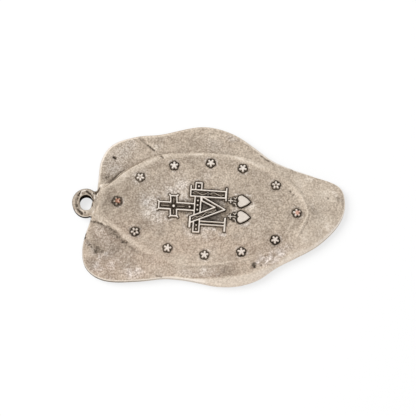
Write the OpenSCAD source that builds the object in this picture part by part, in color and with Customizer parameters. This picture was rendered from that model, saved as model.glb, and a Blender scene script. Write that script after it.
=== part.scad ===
// A cast devotional medal with an irregular, leaf-like outline and a hanging loop in one piece with it.
// Its shown side has a raised oval rim. Inside the rim, twelve stars stand round a letter M with a bar
// and a cross, and two hearts stand below the letter. The side that it lies on is plain.
// The origin is the middle of the loop's hole. +X runs from the loop to the foot, +Z out of the shown side.

/* [Plate] */
// Distance from the loop's hole to the middle of the oval panel
panel_x = 19.9; // [19.5:0.1:20.1]
// Half the length of the panel, to the crest of its rim
panel_a = 17.9; // [17:0.1:18]
// Half the width of the panel, to the crest of its rim
panel_b = 9.8; // [9.3:0.1:10]
// How full the panel's ends are: 2 is an ellipse, less is more pointed
panel_power = 1.8; // [1.7:0.05:2]
// Side that the medal lies on, below the middle of the hole
back_z = -1.0; // [-1.2:0.05:-0.9]
// Floor of the panel
floor_z = 0.75; // [0.65:0.05:0.8]
// Crest of the panel's rim
crest_z = 0.95; // [0.9:0.05:1.05]

/* [Hanging loop] */
// Radius of the hole
hole_r = 1.1; // [1:0.05:1.2]
// Length of the hole's straight wall
hole_wall = 1.4; // [1:0.1:1.6]
// Outer radius of the loop
loop_r = 2.4; // [2.3:0.05:2.5]
// Top of the loop
loop_z = 0.9; // [0.85:0.05:0.95]

/* [Relief] */
// Top of the monogram's lines
line_z = 1.05; // [0.95:0.05:1.2]
// Top of the stars and the hearts
star_z = 1.1; // [0.95:0.05:1.2]
// Width of a raised line
line_w = 0.22; // [0.18:0.01:0.26]
// Outer radius of a star
star_r = 0.72; // [0.6:0.02:0.76]
// Length of a heart
heart_l = 2.15; // [2:0.05:2.25]
// Width of a heart
heart_w = 1.95; // [1.8:0.05:2]

/* [Hidden] */
metal = "#bdae9b";
worn = "#ddd3c4";
// Steps round the plate
steps = 144;
// How far each raised thing reaches down into the plate
sink = 0.3;
// Middle of the monogram's bar, which the drawings below are measured from
emblem_at = [18.95, 0.2];

// The plate's outline and the heights outside the panel's rim, round the panel's middle:
// angle, reach of the outline, height at the rim's foot, and height near the edge
OUTLINE = [
    [0, 23.6, 0.60, 0.30],
    [8, 24.2, 0.60, 0.35],
    [14, 23.5, 0.60, 0.35],
    [21, 19.85, 0.65, 0.40],
    [29, 16.85, 0.70, 0.45],
    [40, 14.75, 0.75, 0.45],
    [55, 14.15, 0.70, 0.40],
    [75, 14.5, 0.65, 0.35],
    [92, 14.8, 0.65, 0.35],
    [112, 14.75, 0.60, 0.35],
    [124, 15.45, 0.50, 0.35],
    [136, 17.5, 0.25, 0.30],
    [148, 19.45, 0.15, 0.30],
    [157, 19.5, 0.15, 0.30],
    [168, 18.6, 0.45, 0.40],
    [180, 18.3, 0.80, 0.70],
    [190, 19.3, 0.45, 0.40],
    [203, 21.6, 0.15, 0.25],
    [211, 22.15, 0.15, 0.25],
    [219, 20.9, 0.20, 0.30],
    [231, 16.8, 0.30, 0.35],
    [243, 13.85, 0.50, 0.40],
    [256, 12.65, 0.65, 0.40],
    [270, 12.6, 0.70, 0.40],
    [285, 13.45, 0.70, 0.40],
    [297, 14.3, 0.70, 0.40],
    [311, 15.2, 0.75, 0.40],
    [325, 15.9, 0.75, 0.40],
    [336, 17.7, 0.70, 0.40],
    [348, 20.8, 0.65, 0.35]
];

// The stars: place from the panel's middle, along X and across, and turn in degrees
STARS = [
    [0.8, 8.15, 0],
    [6.3, 7.6, 8],
    [12.1, 5.0, 20],
    [15.9, 0.4, 30],
    [12.5, -4.55, 10],
    [6.95, -7.0, 0],
    [0.8, -7.95, 12],
    [-5.5, -7.2, 4],
    [-11.2, -4.7, 16],
    [-14.6, 0.4, 20],
    [-11.0, 4.87, 10],
    [-5.4, 7.3, 0]
];

// The cross before the monogram: its middle, the tips of its arms, and the width between its lines
cross_x = -4.04;
cross_tip = -6.55;
cross_half = 1.75;
cross_w = 1.18;
// The monogram's bar: half its length, and the width between its lines
bar_half = 4.3;
bar_w = 1.0;
// The letter's strokes, as corners round each: the thick leg, the two joined diagonals and the thin leg
THICK_LEG = [[-1.3, 1.92], [4.65, 1.92], [4.65, 3.06], [-1.3, 3.06]];
DIAGONALS = [[0.66, 1.92], [4.65, -0.1], [-1.15, -2.75], [-1.15, -1.68], [2.9, 0.25], [0.66, 1.28]];
THIN_LEG = [[0.5, -2.92], [4.75, -2.92], [4.75, -2.38], [0.5, -2.38]];
// Lines across the strokes' ends, as X, low end and high end
SERIFS = [
    [-1.3, 1.92, 3.75],
    [4.75, 1.5, 3.6],
    [-1.15, -3.45, -1.68],
    [4.82, -3.85, -1.6]
];
// Round pearls: place along X and across, and radius
PEARLS = [
    [-4.04, 0, 0.3],
    [-1.33, 0, 0.21],
    [0, 1.2, 0.2],
    [0, 0.4, 0.2],
    [0, -0.4, 0.2],
    [0, 3.7, 0.22],
    [0, -3.1, 0.18],
    [0, -3.8, 0.18]
];
// Middles of the two hearts
HEARTS = [[7.82, 1.55], [7.9, -1.18]];

// A row of the outline, counted past either end, and its angle
function row(i) = OUTLINE[(i + len(OUTLINE)) % len(OUTLINE)];
function row_angle(i) = row(i)[0] + (i < 0 ? -360 : i >= len(OUTLINE) ? 360 : 0);
// The row that an angle lies after
function row_before(angle) = max([for (i = [0:len(OUTLINE) - 1]) if (row(i)[0] <= angle) i]);
// Slope of a column at a row, from the rows on its two sides
function slope(i, column) = (row(i + 1)[column] - row(i - 1)[column]) / (row_angle(i + 1) - row_angle(i - 1));
// A column at any angle, on a smooth curve through the rows
function value_at(angle, column) =
    let (
        i = row_before(angle),
        span = row_angle(i + 1) - row_angle(i),
        t = (angle - row_angle(i)) / span
    )
    row(i)[column] * (1 + 2 * t) * (1 - t) ^ 2
        + slope(i, column) * span * t * (1 - t) ^ 2
        + row(i + 1)[column] * t ^ 2 * (3 - 2 * t)
        - slope(i + 1, column) * span * t ^ 2 * (1 - t);

// Distance from the panel's middle to the crest of its rim, a rounded oval
function rim(angle) =
    1 / (abs(cos(angle) / panel_a) ^ panel_power + abs(sin(angle) / panel_b) ^ panel_power) ^ (1 / panel_power);

// The plate's section at one angle, from the panel's floor over the rim and round the edge to the back,
// as distances from the panel's middle and heights
function section(angle) =
    let (
        out = value_at(angle, 1),
        foot_z = value_at(angle, 2),
        edge_z = value_at(angle, 3),
        crest = min(rim(angle), out - 0.9),
        foot = min(crest + 0.7, out - 0.5),
        shoulder = out - 0.35
    )
    [
        [0.93 * crest, floor_z],
        [0.975 * crest, crest_z - 0.05],
        [crest, crest_z],
        [crest + 0.25, crest_z - 0.08],
        [foot, foot_z],
        [(foot + shoulder) / 2, (foot_z + edge_z) / 2],
        [shoulder, edge_z],
        [out - 0.08, edge_z - 0.18],
        [out, edge_z - 0.5],
        [out, back_z + 0.3],
        [out - 0.3, back_z]
    ];

module plate() {
    sections = [for (i = [0:steps - 1]) section(360 * i / steps)];
    rings = len(sections[0]);
    rim_points = [for (i = [0:steps - 1], s = sections[i])
        let (angle = 360 * i / steps)
        [panel_x + s[0] * cos(angle), s[0] * sin(angle), s[1]]];
    top = len(rim_points);
    bottom = top + 1;
    sides = [for (i = [0:steps - 1], j = [0:rings - 2])
        let (a = i * rings + j, b = (i + 1) % steps * rings + j)
        each [[a, b, b + 1], [a, b + 1, a + 1]]];
    caps = [for (i = [0:steps - 1])
        let (a = i * rings, b = (i + 1) % steps * rings)
        each [[top, b, a], [bottom, a + rings - 1, b + rings - 1]]];
    color(metal) polyhedron(
        points = concat(rim_points, [[panel_x, 0, floor_z], [panel_x, 0, back_z]]),
        faces = concat(sides, caps),
        convexity = 6
    );
}

// The loop as a filled disc with its outer edges taken off at an angle
module loop_disc() {
    color(metal) rotate_extrude($fn = 64) polygon([
        [0, back_z],
        [loop_r - 0.35, back_z],
        [loop_r, back_z + 0.5],
        [loop_r, loop_z - 0.6],
        [loop_r - 0.45, loop_z],
        [0, loop_z]
    ]);
}

// The space of the hole, which widens at 45 degrees past both ends of its straight wall
module hole() {
    half = hole_wall / 2;
    flare = 0.8;
    rotate_extrude($fn = 64) polygon([
        [0, -half - flare],
        [hole_r + flare, -half - flare],
        [hole_r, -half],
        [hole_r, half],
        [hole_r + flare, half + flare],
        [0, half + flare]
    ]);
}

// Raises a flat drawing from the panel's floor to a height
module raised(top_z) {
    translate([0, 0, floor_z - sink]) linear_extrude(top_z - floor_z + sink) children();
}

module star() {
    points = 5;
    polygon([for (i = [0:2 * points - 1])
        let (r = i % 2 == 0 ? star_r : 0.55 * star_r, angle = 180 * i / points)
        [r * cos(angle), r * sin(angle)]]);
}

module stars() {
    color(worn) for (s = STARS)
        translate([panel_x + s[0], s[1]]) rotate(s[2]) raised(star_z) star();
}

// A straight raised line, squared off half its width past its two ends
module line(from, to) {
    run = to - from;
    translate(from) rotate(atan2(run[1], run[0]))
        translate([-line_w / 2, -line_w / 2]) square([norm(run) + line_w, line_w]);
}

// Lines round a closed shape
module lines_round(corners) {
    for (i = [0:len(corners) - 1]) line(corners[i], corners[(i + 1) % len(corners)]);
}

// The cross: its outline, and a short slanted line at each corner of its three free ends
module cross() {
    half = cross_w / 2;
    spur = 0.28;
    lines_round([
        [cross_tip, -half], [cross_x - half, -half], [cross_x - half, -cross_half],
        [cross_x + half, -cross_half], [cross_x + half, -half], [-bar_w / 2, -half],
        [-bar_w / 2, half], [cross_x + half, half], [cross_x + half, cross_half],
        [cross_x - half, cross_half], [cross_x - half, half], [cross_tip, half]
    ]);
    for (side = [-1, 1]) {
        line([cross_tip, side * half], [cross_tip - spur, side * (half + spur)]);
        for (end = [-1, 1])
            line([cross_x + side * half, end * cross_half],
                [cross_x + side * (half + spur), end * (cross_half + spur)]);
    }
}

// The bar passes behind the letter's strokes
module bar() {
    difference() {
        lines_round([[-bar_w / 2, -bar_half], [bar_w / 2, -bar_half], [bar_w / 2, bar_half], [-bar_w / 2, bar_half]]);
        polygon(THICK_LEG);
        polygon(DIAGONALS);
    }
}

module letter() {
    lines_round(THICK_LEG);
    lines_round(DIAGONALS);
    lines_round(THIN_LEG);
    for (s = SERIFS) line([s[0], s[1]], [s[0], s[2]]);
}

module monogram() {
    color(worn) translate(emblem_at) {
        raised(line_z) {
            cross();
            bar();
            letter();
        }
        for (p = PEARLS) translate([p[0], p[1]]) raised(line_z) circle(r = p[2], $fn = 32);
    }
}

// A heart lying on its side: two round lobes, and straight sides that run from them to the tip
module heart() {
    lobe_r = 0.27 * heart_w;
    lobe = [lobe_r - heart_l / 2, heart_w / 2 - lobe_r];
    tip = [heart_l / 2, 0];
    run = tip - lobe;
    turn = atan2(run[1], run[0]) + acos(lobe_r / norm(run));
    shoulder = lobe + lobe_r * [cos(turn), sin(turn)];
    polygon([tip, shoulder, lobe, [lobe[0], -lobe[1]], [shoulder[0], -shoulder[1]]]);
    for (side = [-1, 1]) translate([lobe[0], side * lobe[1]]) circle(r = lobe_r, $fn = 32);
}

// A small cross and three tongues of flame beside a heart
module flames() {
    line([-2.6, -0.1], [-1.9, -0.1]);
    line([-2.25, -0.45], [-2.25, 0.25]);
    line([-1.6, 0.35], [-1.3, 0.6]);
    line([-1.65, -0.1], [-1.4, -0.1]);
    line([-1.65, -0.75], [-1.35, -0.9]);
}

module hearts() {
    color(worn) translate(emblem_at) for (place = HEARTS) translate(place) {
        raised(star_z) heart();
        raised(line_z - 0.1) flames();
    }
}

module medal() {
    difference() {
        union() {
            plate();
            loop_disc();
        }
        hole();
    }
    stars();
    monogram();
    hearts();
}

medal();
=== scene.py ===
# %% [markdown]
# A cast devotional medal. The real one is a single casting: a leaf-like plate with a hanging loop, an
# oval panel inside a soft rim, and low relief on the panel. It is silver plated, darkened with a
# patina, and then rubbed, so that the high places are pale and the recesses stay nearly black.
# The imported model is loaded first. It is the fixed frame, and every piece here is made to its sizes.

# %% Frame
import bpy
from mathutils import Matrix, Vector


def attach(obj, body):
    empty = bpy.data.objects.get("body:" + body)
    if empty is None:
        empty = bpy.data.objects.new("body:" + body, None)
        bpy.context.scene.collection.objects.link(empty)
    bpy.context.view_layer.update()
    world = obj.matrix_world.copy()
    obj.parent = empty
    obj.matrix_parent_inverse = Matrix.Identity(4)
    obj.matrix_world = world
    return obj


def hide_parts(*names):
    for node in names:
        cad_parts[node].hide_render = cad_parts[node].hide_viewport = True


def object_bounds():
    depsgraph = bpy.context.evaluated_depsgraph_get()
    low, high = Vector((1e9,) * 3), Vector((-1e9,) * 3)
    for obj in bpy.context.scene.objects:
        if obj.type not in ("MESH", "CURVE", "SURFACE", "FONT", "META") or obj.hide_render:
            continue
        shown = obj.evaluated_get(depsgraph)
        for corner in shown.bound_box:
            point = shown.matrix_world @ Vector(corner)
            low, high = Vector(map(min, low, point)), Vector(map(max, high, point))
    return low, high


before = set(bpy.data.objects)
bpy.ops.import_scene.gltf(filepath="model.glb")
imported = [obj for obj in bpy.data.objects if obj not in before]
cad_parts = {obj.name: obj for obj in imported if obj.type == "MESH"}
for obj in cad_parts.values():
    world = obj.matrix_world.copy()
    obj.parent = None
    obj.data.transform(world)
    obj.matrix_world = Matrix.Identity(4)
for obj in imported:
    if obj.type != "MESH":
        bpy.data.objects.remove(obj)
from types import SimpleNamespace
import bpy
import numpy as np
from mathutils import Matrix, Vector

CAD_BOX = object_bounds()
MM = 0.001
LYING_Z = CAD_BOX[0][2] / MM
print("the packed model's box in mm:", [[round(v / MM, 2) for v in corner] for corner in CAD_BOX])

# %% [markdown]
# The photograph looks down on the lying medal, steeply but not straight: the wall of the loop's hole
# shows on its far side. A long lens at some distance keeps the outline free of perspective. The camera
# is placed from three facts: how steep it looks, how the medal is turned, and which pixel shows the hole.

# %% Camera
ELEVATION = np.radians(75.0)
TURN = np.radians(3.9)
MM_PER_PIXEL = 0.17
PICTURE = 416
HOLE_PIXEL = (86.2, 202.5)
LENS = 150.0
SENSOR = 36.0
NEAREST_SEEN, FARTHEST_SEEN = 0.005, 5.0

lean = np.cos(ELEVATION)
right = Vector((np.cos(TURN), np.sin(TURN), 0.0))
back = Vector((np.sin(TURN) * lean, -np.cos(TURN) * lean, np.sin(ELEVATION)))
up = back.cross(right)
aim = (right * (PICTURE / 2 - HOLE_PIXEL[0]) + up * (HOLE_PIXEL[1] - PICTURE / 2)) * MM_PER_PIXEL * MM
distance = PICTURE * MM_PER_PIXEL * MM * LENS / SENSOR

camera_data = bpy.data.cameras.new("camera")
camera_data.lens = LENS
camera_data.sensor_width = SENSOR
camera_data.clip_start = NEAREST_SEEN
camera_data.clip_end = FARTHEST_SEEN
camera = bpy.data.objects.new("camera", camera_data)
bpy.context.scene.collection.objects.link(camera)
facing = Matrix((right, up, back)).transposed().to_4x4()
camera.matrix_world = Matrix.Translation(aim + back * distance) @ facing
bpy.context.scene.camera = camera
print("camera stands", round(distance / MM), "mm from the medal")

# %% [markdown]
# A colour is written as the sRGB hex that a paint program shows, and the shader wants it linear. One
# function does that. Another adds a node with its settings and its links, and hands back what it gives.

# %% Colours and nodes


def linear(hex_colour):
    """Linear RGBA of an sRGB hex colour: each part is ((c + 0.055) / 1.055) ^ 2.4, or c / 12.92 if dark."""
    parts = np.array([int(hex_colour[i:i + 2], 16) for i in (1, 3, 5)]) / 255
    return (*np.where(parts > 0.04045, ((parts + 0.055) / 1.055) ** 2.4, parts / 12.92).tolist(), 1.0)


def add(tree, kind, inputs=None, out=0, **settings):
    """Adds a node and gives back an output. In inputs, values are set and sockets are linked."""
    node = tree.nodes.new(kind)
    for name, value in settings.items():
        setattr(node, name, value)
    for name, value in (inputs or {}).items():
        if isinstance(value, bpy.types.NodeSocket):
            tree.links.new(value, node.inputs[name])
        else:
            node.inputs[name].default_value = value
    return node.outputs[out]


print("a grey of #808080 is", round(linear("#808080")[0], 3), "in linear light")

# %% [markdown]
# Catalogue pictures of small things are often taken on a light table: opal plastic that glows, so that
# the ground is white and the shadow on it is faint. Metal shows what is round it, so the room is white too.

# %% Light table and room
TABLE_HALF = 0.6
TABLE_GLOW = 0.72
ROOM_GLOW = 0.74
# a hair below the medal, so that the two surfaces don't fight for the same place
TABLE_GAP = 0.000002

scene = bpy.context.scene
scene.view_settings.view_transform = "Standard"

table_material = bpy.data.materials.new("opal_light_table")
table_material.use_nodes = True
table_shader = table_material.node_tree.nodes["Principled BSDF"]
for socket, value in {"Base Color": linear("#666666"), "Roughness": 0.9, "Specular IOR Level": 0.0,
                      "Emission Color": linear("#FFFFFF"), "Emission Strength": TABLE_GLOW}.items():
    table_shader.inputs[socket].default_value = value

floor_z = LYING_Z * MM - TABLE_GAP
corners = [(x * TABLE_HALF, y * TABLE_HALF, floor_z) for x, y in ((-1, -1), (1, -1), (1, 1), (-1, 1))]
floor_mesh = bpy.data.meshes.new("floor")
floor_mesh.from_pydata(corners, [], [(0, 1, 2, 3)])
floor_mesh.materials.append(table_material)
floor = bpy.data.objects.new("floor", floor_mesh)
scene.collection.objects.link(floor)

world = bpy.data.worlds.new("white_room")
world.use_nodes = True
room = world.node_tree.nodes["Background"]
room.inputs["Color"].default_value = linear("#FFFFFF")
room.inputs["Strength"].default_value = ROOM_GLOW
scene.world = world
print("light table", 2 * TABLE_HALF, "m wide")

# %% [markdown]
# A lamp from the left makes the shadow. It is kept off the gloss, where it would glare. Two large soft
# ones, from the far left and from the near side, give the relief its gentle shade.

# %% Lamps


def lamp(name, direction, reach, size, power, in_gloss=True):
    """A square soft lamp that stands reach metres from the medal along direction and faces it."""
    data = bpy.data.lights.new(name, "AREA")
    data.shape = "SQUARE"
    data.size = size
    data.energy = power
    lamp_object = bpy.data.objects.new(name, data)
    away = Vector(direction).normalized()
    lamp_object.location = aim + away * reach
    lamp_object.rotation_euler = away.to_track_quat("Z", "Y").to_euler()
    lamp_object.visible_glossy = in_gloss
    scene.collection.objects.link(lamp_object)
    print(name, "has", power, "W at", reach, "m")


lamp("shadow_lamp", (-1.2, 0.38, 1.25), 0.9, 0.6, 16.0, False)
lamp("sheen_lamp", (-0.6, 0.7, 1.1), 1.2, 0.9, 2.5)
lamp("fill_lamp", (-0.2, -0.9, 1.1), 1.2, 1.2, 3.0)

# %% [markdown]
# The outline of the plate is free, like a petal or a piece of driftwood, and so it is kept as a short
# table of its reach from the middle of the panel. The panel's rim is an oval, worn away here and there,
# and a second table says how it differs round the plate.

# %% Outline and rim
PANEL_X = 19.9
PANEL_HALF = (17.9, 9.8)
PANEL_POWER = 1.8
FLOOR_OF_PANEL = 0.75
EDGE_ROUND = 0.35
# columns: angle in degrees, reach, height near the edge
OUTLINE = np.array([
    [0, 23.6, 0.3], [8, 24.2, 0.35], [14, 23.5, 0.35], [21, 19.85, 0.4], [29, 16.85, 0.45],
    [40, 14.75, 0.45], [55, 14.15, 0.4], [75, 14.5, 0.35], [92, 14.8, 0.35], [112, 14.75, 0.35],
    [124, 15.45, 0.35], [136, 17.5, 0.3], [148, 19.45, 0.3], [157, 19.5, 0.3], [168, 18.6, 0.4],
    [180, 18.3, 0.7], [190, 19.3, 0.4], [203, 21.6, 0.25], [211, 22.15, 0.25], [219, 20.9, 0.3],
    [231, 16.8, 0.35], [243, 13.85, 0.4], [256, 12.65, 0.4], [270, 12.6, 0.4], [285, 13.45, 0.4],
    [297, 14.3, 0.4], [311, 15.2, 0.4], [325, 15.9, 0.4], [336, 17.7, 0.4], [348, 20.8, 0.35],
])
# columns: angle, crest's distance past the oval, its height, width of its outer slope, height at its foot,
# how rubbed its bright band is, the band's middle past the crest, its half width, the plate's lip, and how
# dark the painted shade is on the ground just outside the band
RIM = np.array([
    [0, 0, 0.05, 1.3, 0.66, 0.12, -0.1, 0.25, 0.35, 0],
    [14, 0.1, 0.06, 1.3, 0.66, 0.15, -0.1, 0.35, 0.3, 0],
    [25, 0.25, 0.08, 1.2, 0.68, 0.25, 0.1, 0.5, 0.5, 0],
    [42, 0.25, 0.1, 1.1, 0.68, 0.5, 0.3, 0.5, 0.5, 0.05],
    [58, 0.1, 0.1, 1, 0.66, 0.6, 0.3, 0.4, 0.5, 0.1],
    [75, -0.1, 0.1, 1.1, 0.65, 0.54, 0.15, 0.32, 0.45, 0.12],
    [92, -0.2, 0.1, 1.2, 0.63, 0.63, 0.15, 0.32, 0.45, 0.12],
    [112, -0.25, 0.1, 1.2, 0.62, 0.5, 0.15, 0.35, 0.5, 0.15],
    [121, 0.1, 0.11, 1, 0.6, 0.5, 0, 0.45, 0.6, 0.15],
    [130, 0.3, 0.13, 0.9, 0.54, 0.55, -0.2, 0.45, 0.65, 0.15],
    [142, 0.15, 0.12, 0.8, 0.45, 0.62, -0.2, 0.65, 0.5, 0.13],
    [150, 0, 0.1, 0.6, 0.36, 0.62, -0.25, 0.75, 0.5, 0.22],
    [157, -0.2, 0.08, 0.55, 0.32, 0.62, -0.3, 0.75, 0.45, 0.5],
    [164, -0.45, 0.06, 0.55, 0.32, 0.55, -0.35, 0.75, 0.4, 0.65],
    [168, -0.4, 0.05, 0.5, 0.4, 0.6, -0.15, 0.7, 0.4, 0.5],
    [169.7, -0.3, 0.05, 0.5, 0.5, 0.6, 0.7, 0.95, 0.3, 0.3],
    [173, 0, 0.04, 0.6, 0.72, 0.42, 0.9, 1.2, 0.3, 0], [187, 0, 0.04, 0.6, 0.72, 0.35, 0.9, 1.2, 0.3, 0],
    [191, -0.4, 0.05, 0.8, 0.5, 0.4, 0.6, 1, 0.3, 0.3],
    [194, -0.8, 0.05, 1, 0.38, 0.5, 0.4, 0.6, 0.3, 0.45],
    [200, -1.3, 0.06, 1.4, 0.38, 0.5, 0.45, 0.55, 0.3, 0.4],
    [215, -1, 0.09, 1.6, 0.42, 0.33, 0.7, 0.65, 0.3, 0.18],
    [225, -0.7, 0.09, 1.5, 0.48, 0.29, 0.5, 0.6, 0.3, 0.1],
    [237, -0.1, 0.08, 1.4, 0.56, 0.28, 0.2, 0.5, 0.3, 0.05],
    [250, 0.4, 0.07, 1.3, 0.6, 0.32, -0.1, 0.3, 0.35, 0.08],
    [262, 0.2, 0.07, 1.2, 0.6, 0.4, -0.1, 0.22, 0.4, 0.18],
    [272, 0, 0.07, 1.1, 0.58, 0.4, -0.1, 0.22, 0.7, 0.18],
    [281, -0.05, 0.07, 1.1, 0.56, 0.4, -0.15, 0.25, 1.2, 0.22],
    [297, -0.1, 0.07, 1.1, 0.54, 0.44, -0.2, 0.25, 1.75, 0.18],
    [311, 0, 0.06, 1.1, 0.58, 0.44, -0.3, 0.22, 1.65, 0.06],
    [322, 0.1, 0.06, 1.2, 0.6, 0.34, -0.4, 0.28, 1.75, 0],
    [336, 0.1, 0.05, 1.3, 0.64, 0.12, -0.4, 0.3, 1.45, 0],
    [348, -0.1, 0.05, 1.3, 0.66, 0.1, -0.1, 0.25, 0.8, 0],
])
print(len(OUTLINE), "rows say the outline, and", len(RIM), "the rim")

# %% [markdown]
# A cubic between the rows gives every angle a value, so the outline is smooth with few rows. The crest
# of the rim follows the oval, but where the plate is narrow it keeps clear of the edge.

# %% Reading the tables
CREST_TO_EDGE = 0.9


def table_at(table, angle, column):
    """A column at any angle in degrees: Hermite cubics, sloped at a row as between its two neighbours."""
    turn = np.zeros(table.shape[1])
    turn[0] = 360
    rows = np.concatenate([table[-2:] - turn, table, table[:3] + turn])
    angles, values = rows[:, 0], rows[:, column]
    slopes = np.zeros(len(rows))
    slopes[1:-1] = (values[2:] - values[:-2]) / (angles[2:] - angles[:-2])
    angle = np.mod(angle, 360)
    i = np.clip(np.searchsorted(angles, angle, side="right") - 1, 1, len(rows) - 3)
    span = angles[i + 1] - angles[i]
    t = (angle - angles[i]) / span
    return (values[i] * (1 + 2 * t) * (1 - t) ** 2 + slopes[i] * span * t * (1 - t) ** 2
            + values[i + 1] * t ** 2 * (3 - 2 * t) - slopes[i + 1] * span * t ** 2 * (1 - t))


def crest_reach(angle):
    """Distance to the rim's crest: the oval |x/a|^n + |y/b|^n = 1 and a shift, but clear of the outline."""
    c, s = np.cos(np.radians(angle)), np.sin(np.radians(angle))
    oval = (np.abs(c) / PANEL_HALF[0]) ** PANEL_POWER + (np.abs(s) / PANEL_HALF[1]) ** PANEL_POWER
    crest = oval ** (-1 / PANEL_POWER) + table_at(RIM, angle, 1)
    return np.minimum(crest, table_at(OUTLINE, angle, 1) - CREST_TO_EDGE)


every_angle = np.arange(0, 360, 5)
print("reach of the outline:", table_at(OUTLINE, every_angle, 1).min().round(2), "to",
      table_at(OUTLINE, every_angle, 1).max().round(2), "mm")

# %% [markdown]
# The upper surface is one height above every point of the plate, so it is a function of x and y. These
# are the tools for it: a soft step, smooth noise, and the distance to a line.

# %% Tools for surfaces


def smooth(low, high, value):
    """Rises from 0 at low to 1 at high, level at both ends: 3t^2 - 2t^3."""
    t = np.clip((value - low) / (high - low), 0, 1)
    return t * t * (3 - 2 * t)


def bell(value, width):
    """1 at zero, and falls away on both sides as exp(-(value / width)^2)."""
    return np.exp(-(value / width) ** 2)


def lattice_noise(x, y, cell, seed):
    """Smooth noise from -1 to 1: random values at the corners of square cells, blended between them."""
    values = np.random.default_rng(seed).uniform(-1, 1, (256, 256))
    x, y = x / cell + 1000, y / cell + 1000
    i, j = np.floor(x).astype(int), np.floor(y).astype(int)
    u, v = smooth(0, 1, x - i), smooth(0, 1, y - j)
    i0, j0, i1, j1 = i % 256, j % 256, (i + 1) % 256, (j + 1) % 256
    return ((values[i0, j0] * (1 - u) + values[i1, j0] * u) * (1 - v)
            + (values[i0, j1] * (1 - u) + values[i1, j1] * u) * v)


def wander(x, y, amount, cell, seed):
    """Places shifted a little this way and that, so that a mark drawn there has a natural outline."""
    return x + amount * lattice_noise(x, y, cell, seed), y + amount * lattice_noise(x, y, cell, seed + 1)


def to_line(x, y, start, end):
    """Distance from each point to a straight piece of line: to the nearest place between its two ends."""
    run = np.subtract(end, start)
    t = np.clip(((x - start[0]) * run[0] + (y - start[1]) * run[1]) / (run @ run), 0, 1)
    return np.hypot(x - start[0] - t * run[0], y - start[1] - t * run[1])


def nearest(x, y, lines):
    """Distance to the nearest of several straight lines."""
    return np.min([to_line(x, y, start, end) for start, end in lines], axis=0)


print("half its width away, a bell has fallen to", bell(0.5, 1.0).round(2))

# %% [markdown]
# Then come the marks that the mould and the years left. A dent is a bell-shaped hollow, a furrow follows
# a few places, and a tone is a patch where the finish differs: darker, more rubbed, or covered with a
# whitish crust. Each kind has a table, so a mark is moved or taken out by changing one row.

# %% Marks
# columns: x, y, radius, height (below zero for a dent), how dark (below zero: how rubbed)
DENTS = [
    (29.1, -9.1, 0.5, -0.18, 0.65), (29.3, -9.4, 0.22, -0.1, 1), (30.3, -9, 0.18, -0.08, 0.5),
    (0.3, -6.2, 0.28, -0.2, 0.9), (0.4, -5.6, 0.22, -0.1, 0.65), (1.2, -7.5, 0.22, -0.1, 0.6),
    (2, -7.3, 0.3, -0.08, 0.45), (2.7, -7.9, 0.6, -0.12, 0.5), (3.4, -8.3, 0.45, -0.08, 0.5),
    (2.4, -8.5, 0.4, -0.12, 0.58), (4.6, -5, 0.6, -0.05, 0.4), (5.3, -5.3, 0.6, -0.05, 0.45),
    (6, -5.7, 0.5, -0.06, 0.48), (6.8, -6.5, 0.33, -0.14, 0.75), (7.3, -6.7, 0.35, -0.08, 0.5),
    (34.5, 4, 0.16, -0.06, 0.65), (35, 3.6, 0.16, -0.06, 0.6), (36.5, 4.1, 0.15, -0.05, 0.45),
    (41, 3.3, 0.16, -0.05, 0.5), (42.7, 3.4, 0.4, -0.04, 0.28), (9.4, 5.6, 0.16, -0.04, 0.45),
    (2.3, 3, 0.32, 0.05, -0.8), (1.2, -3.05, 0.2, 0.05, -0.7), (3.6, 0, 1.5, -0.05, 0.12),
    (1.2, -6.1, 0.55, 0.06, -0.3), (1.1, -9, 0.8, 0.06, -0.3), (37, 5.6, 0.9, 0.03, -0.25),
    (40.5, 3, 0.1, -0.04, 0.35), (42.8, 0, 0.1, -0.03, 0.4), (12.2, 0.6, 0.14, -0.03, 0.4),
]
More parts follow.
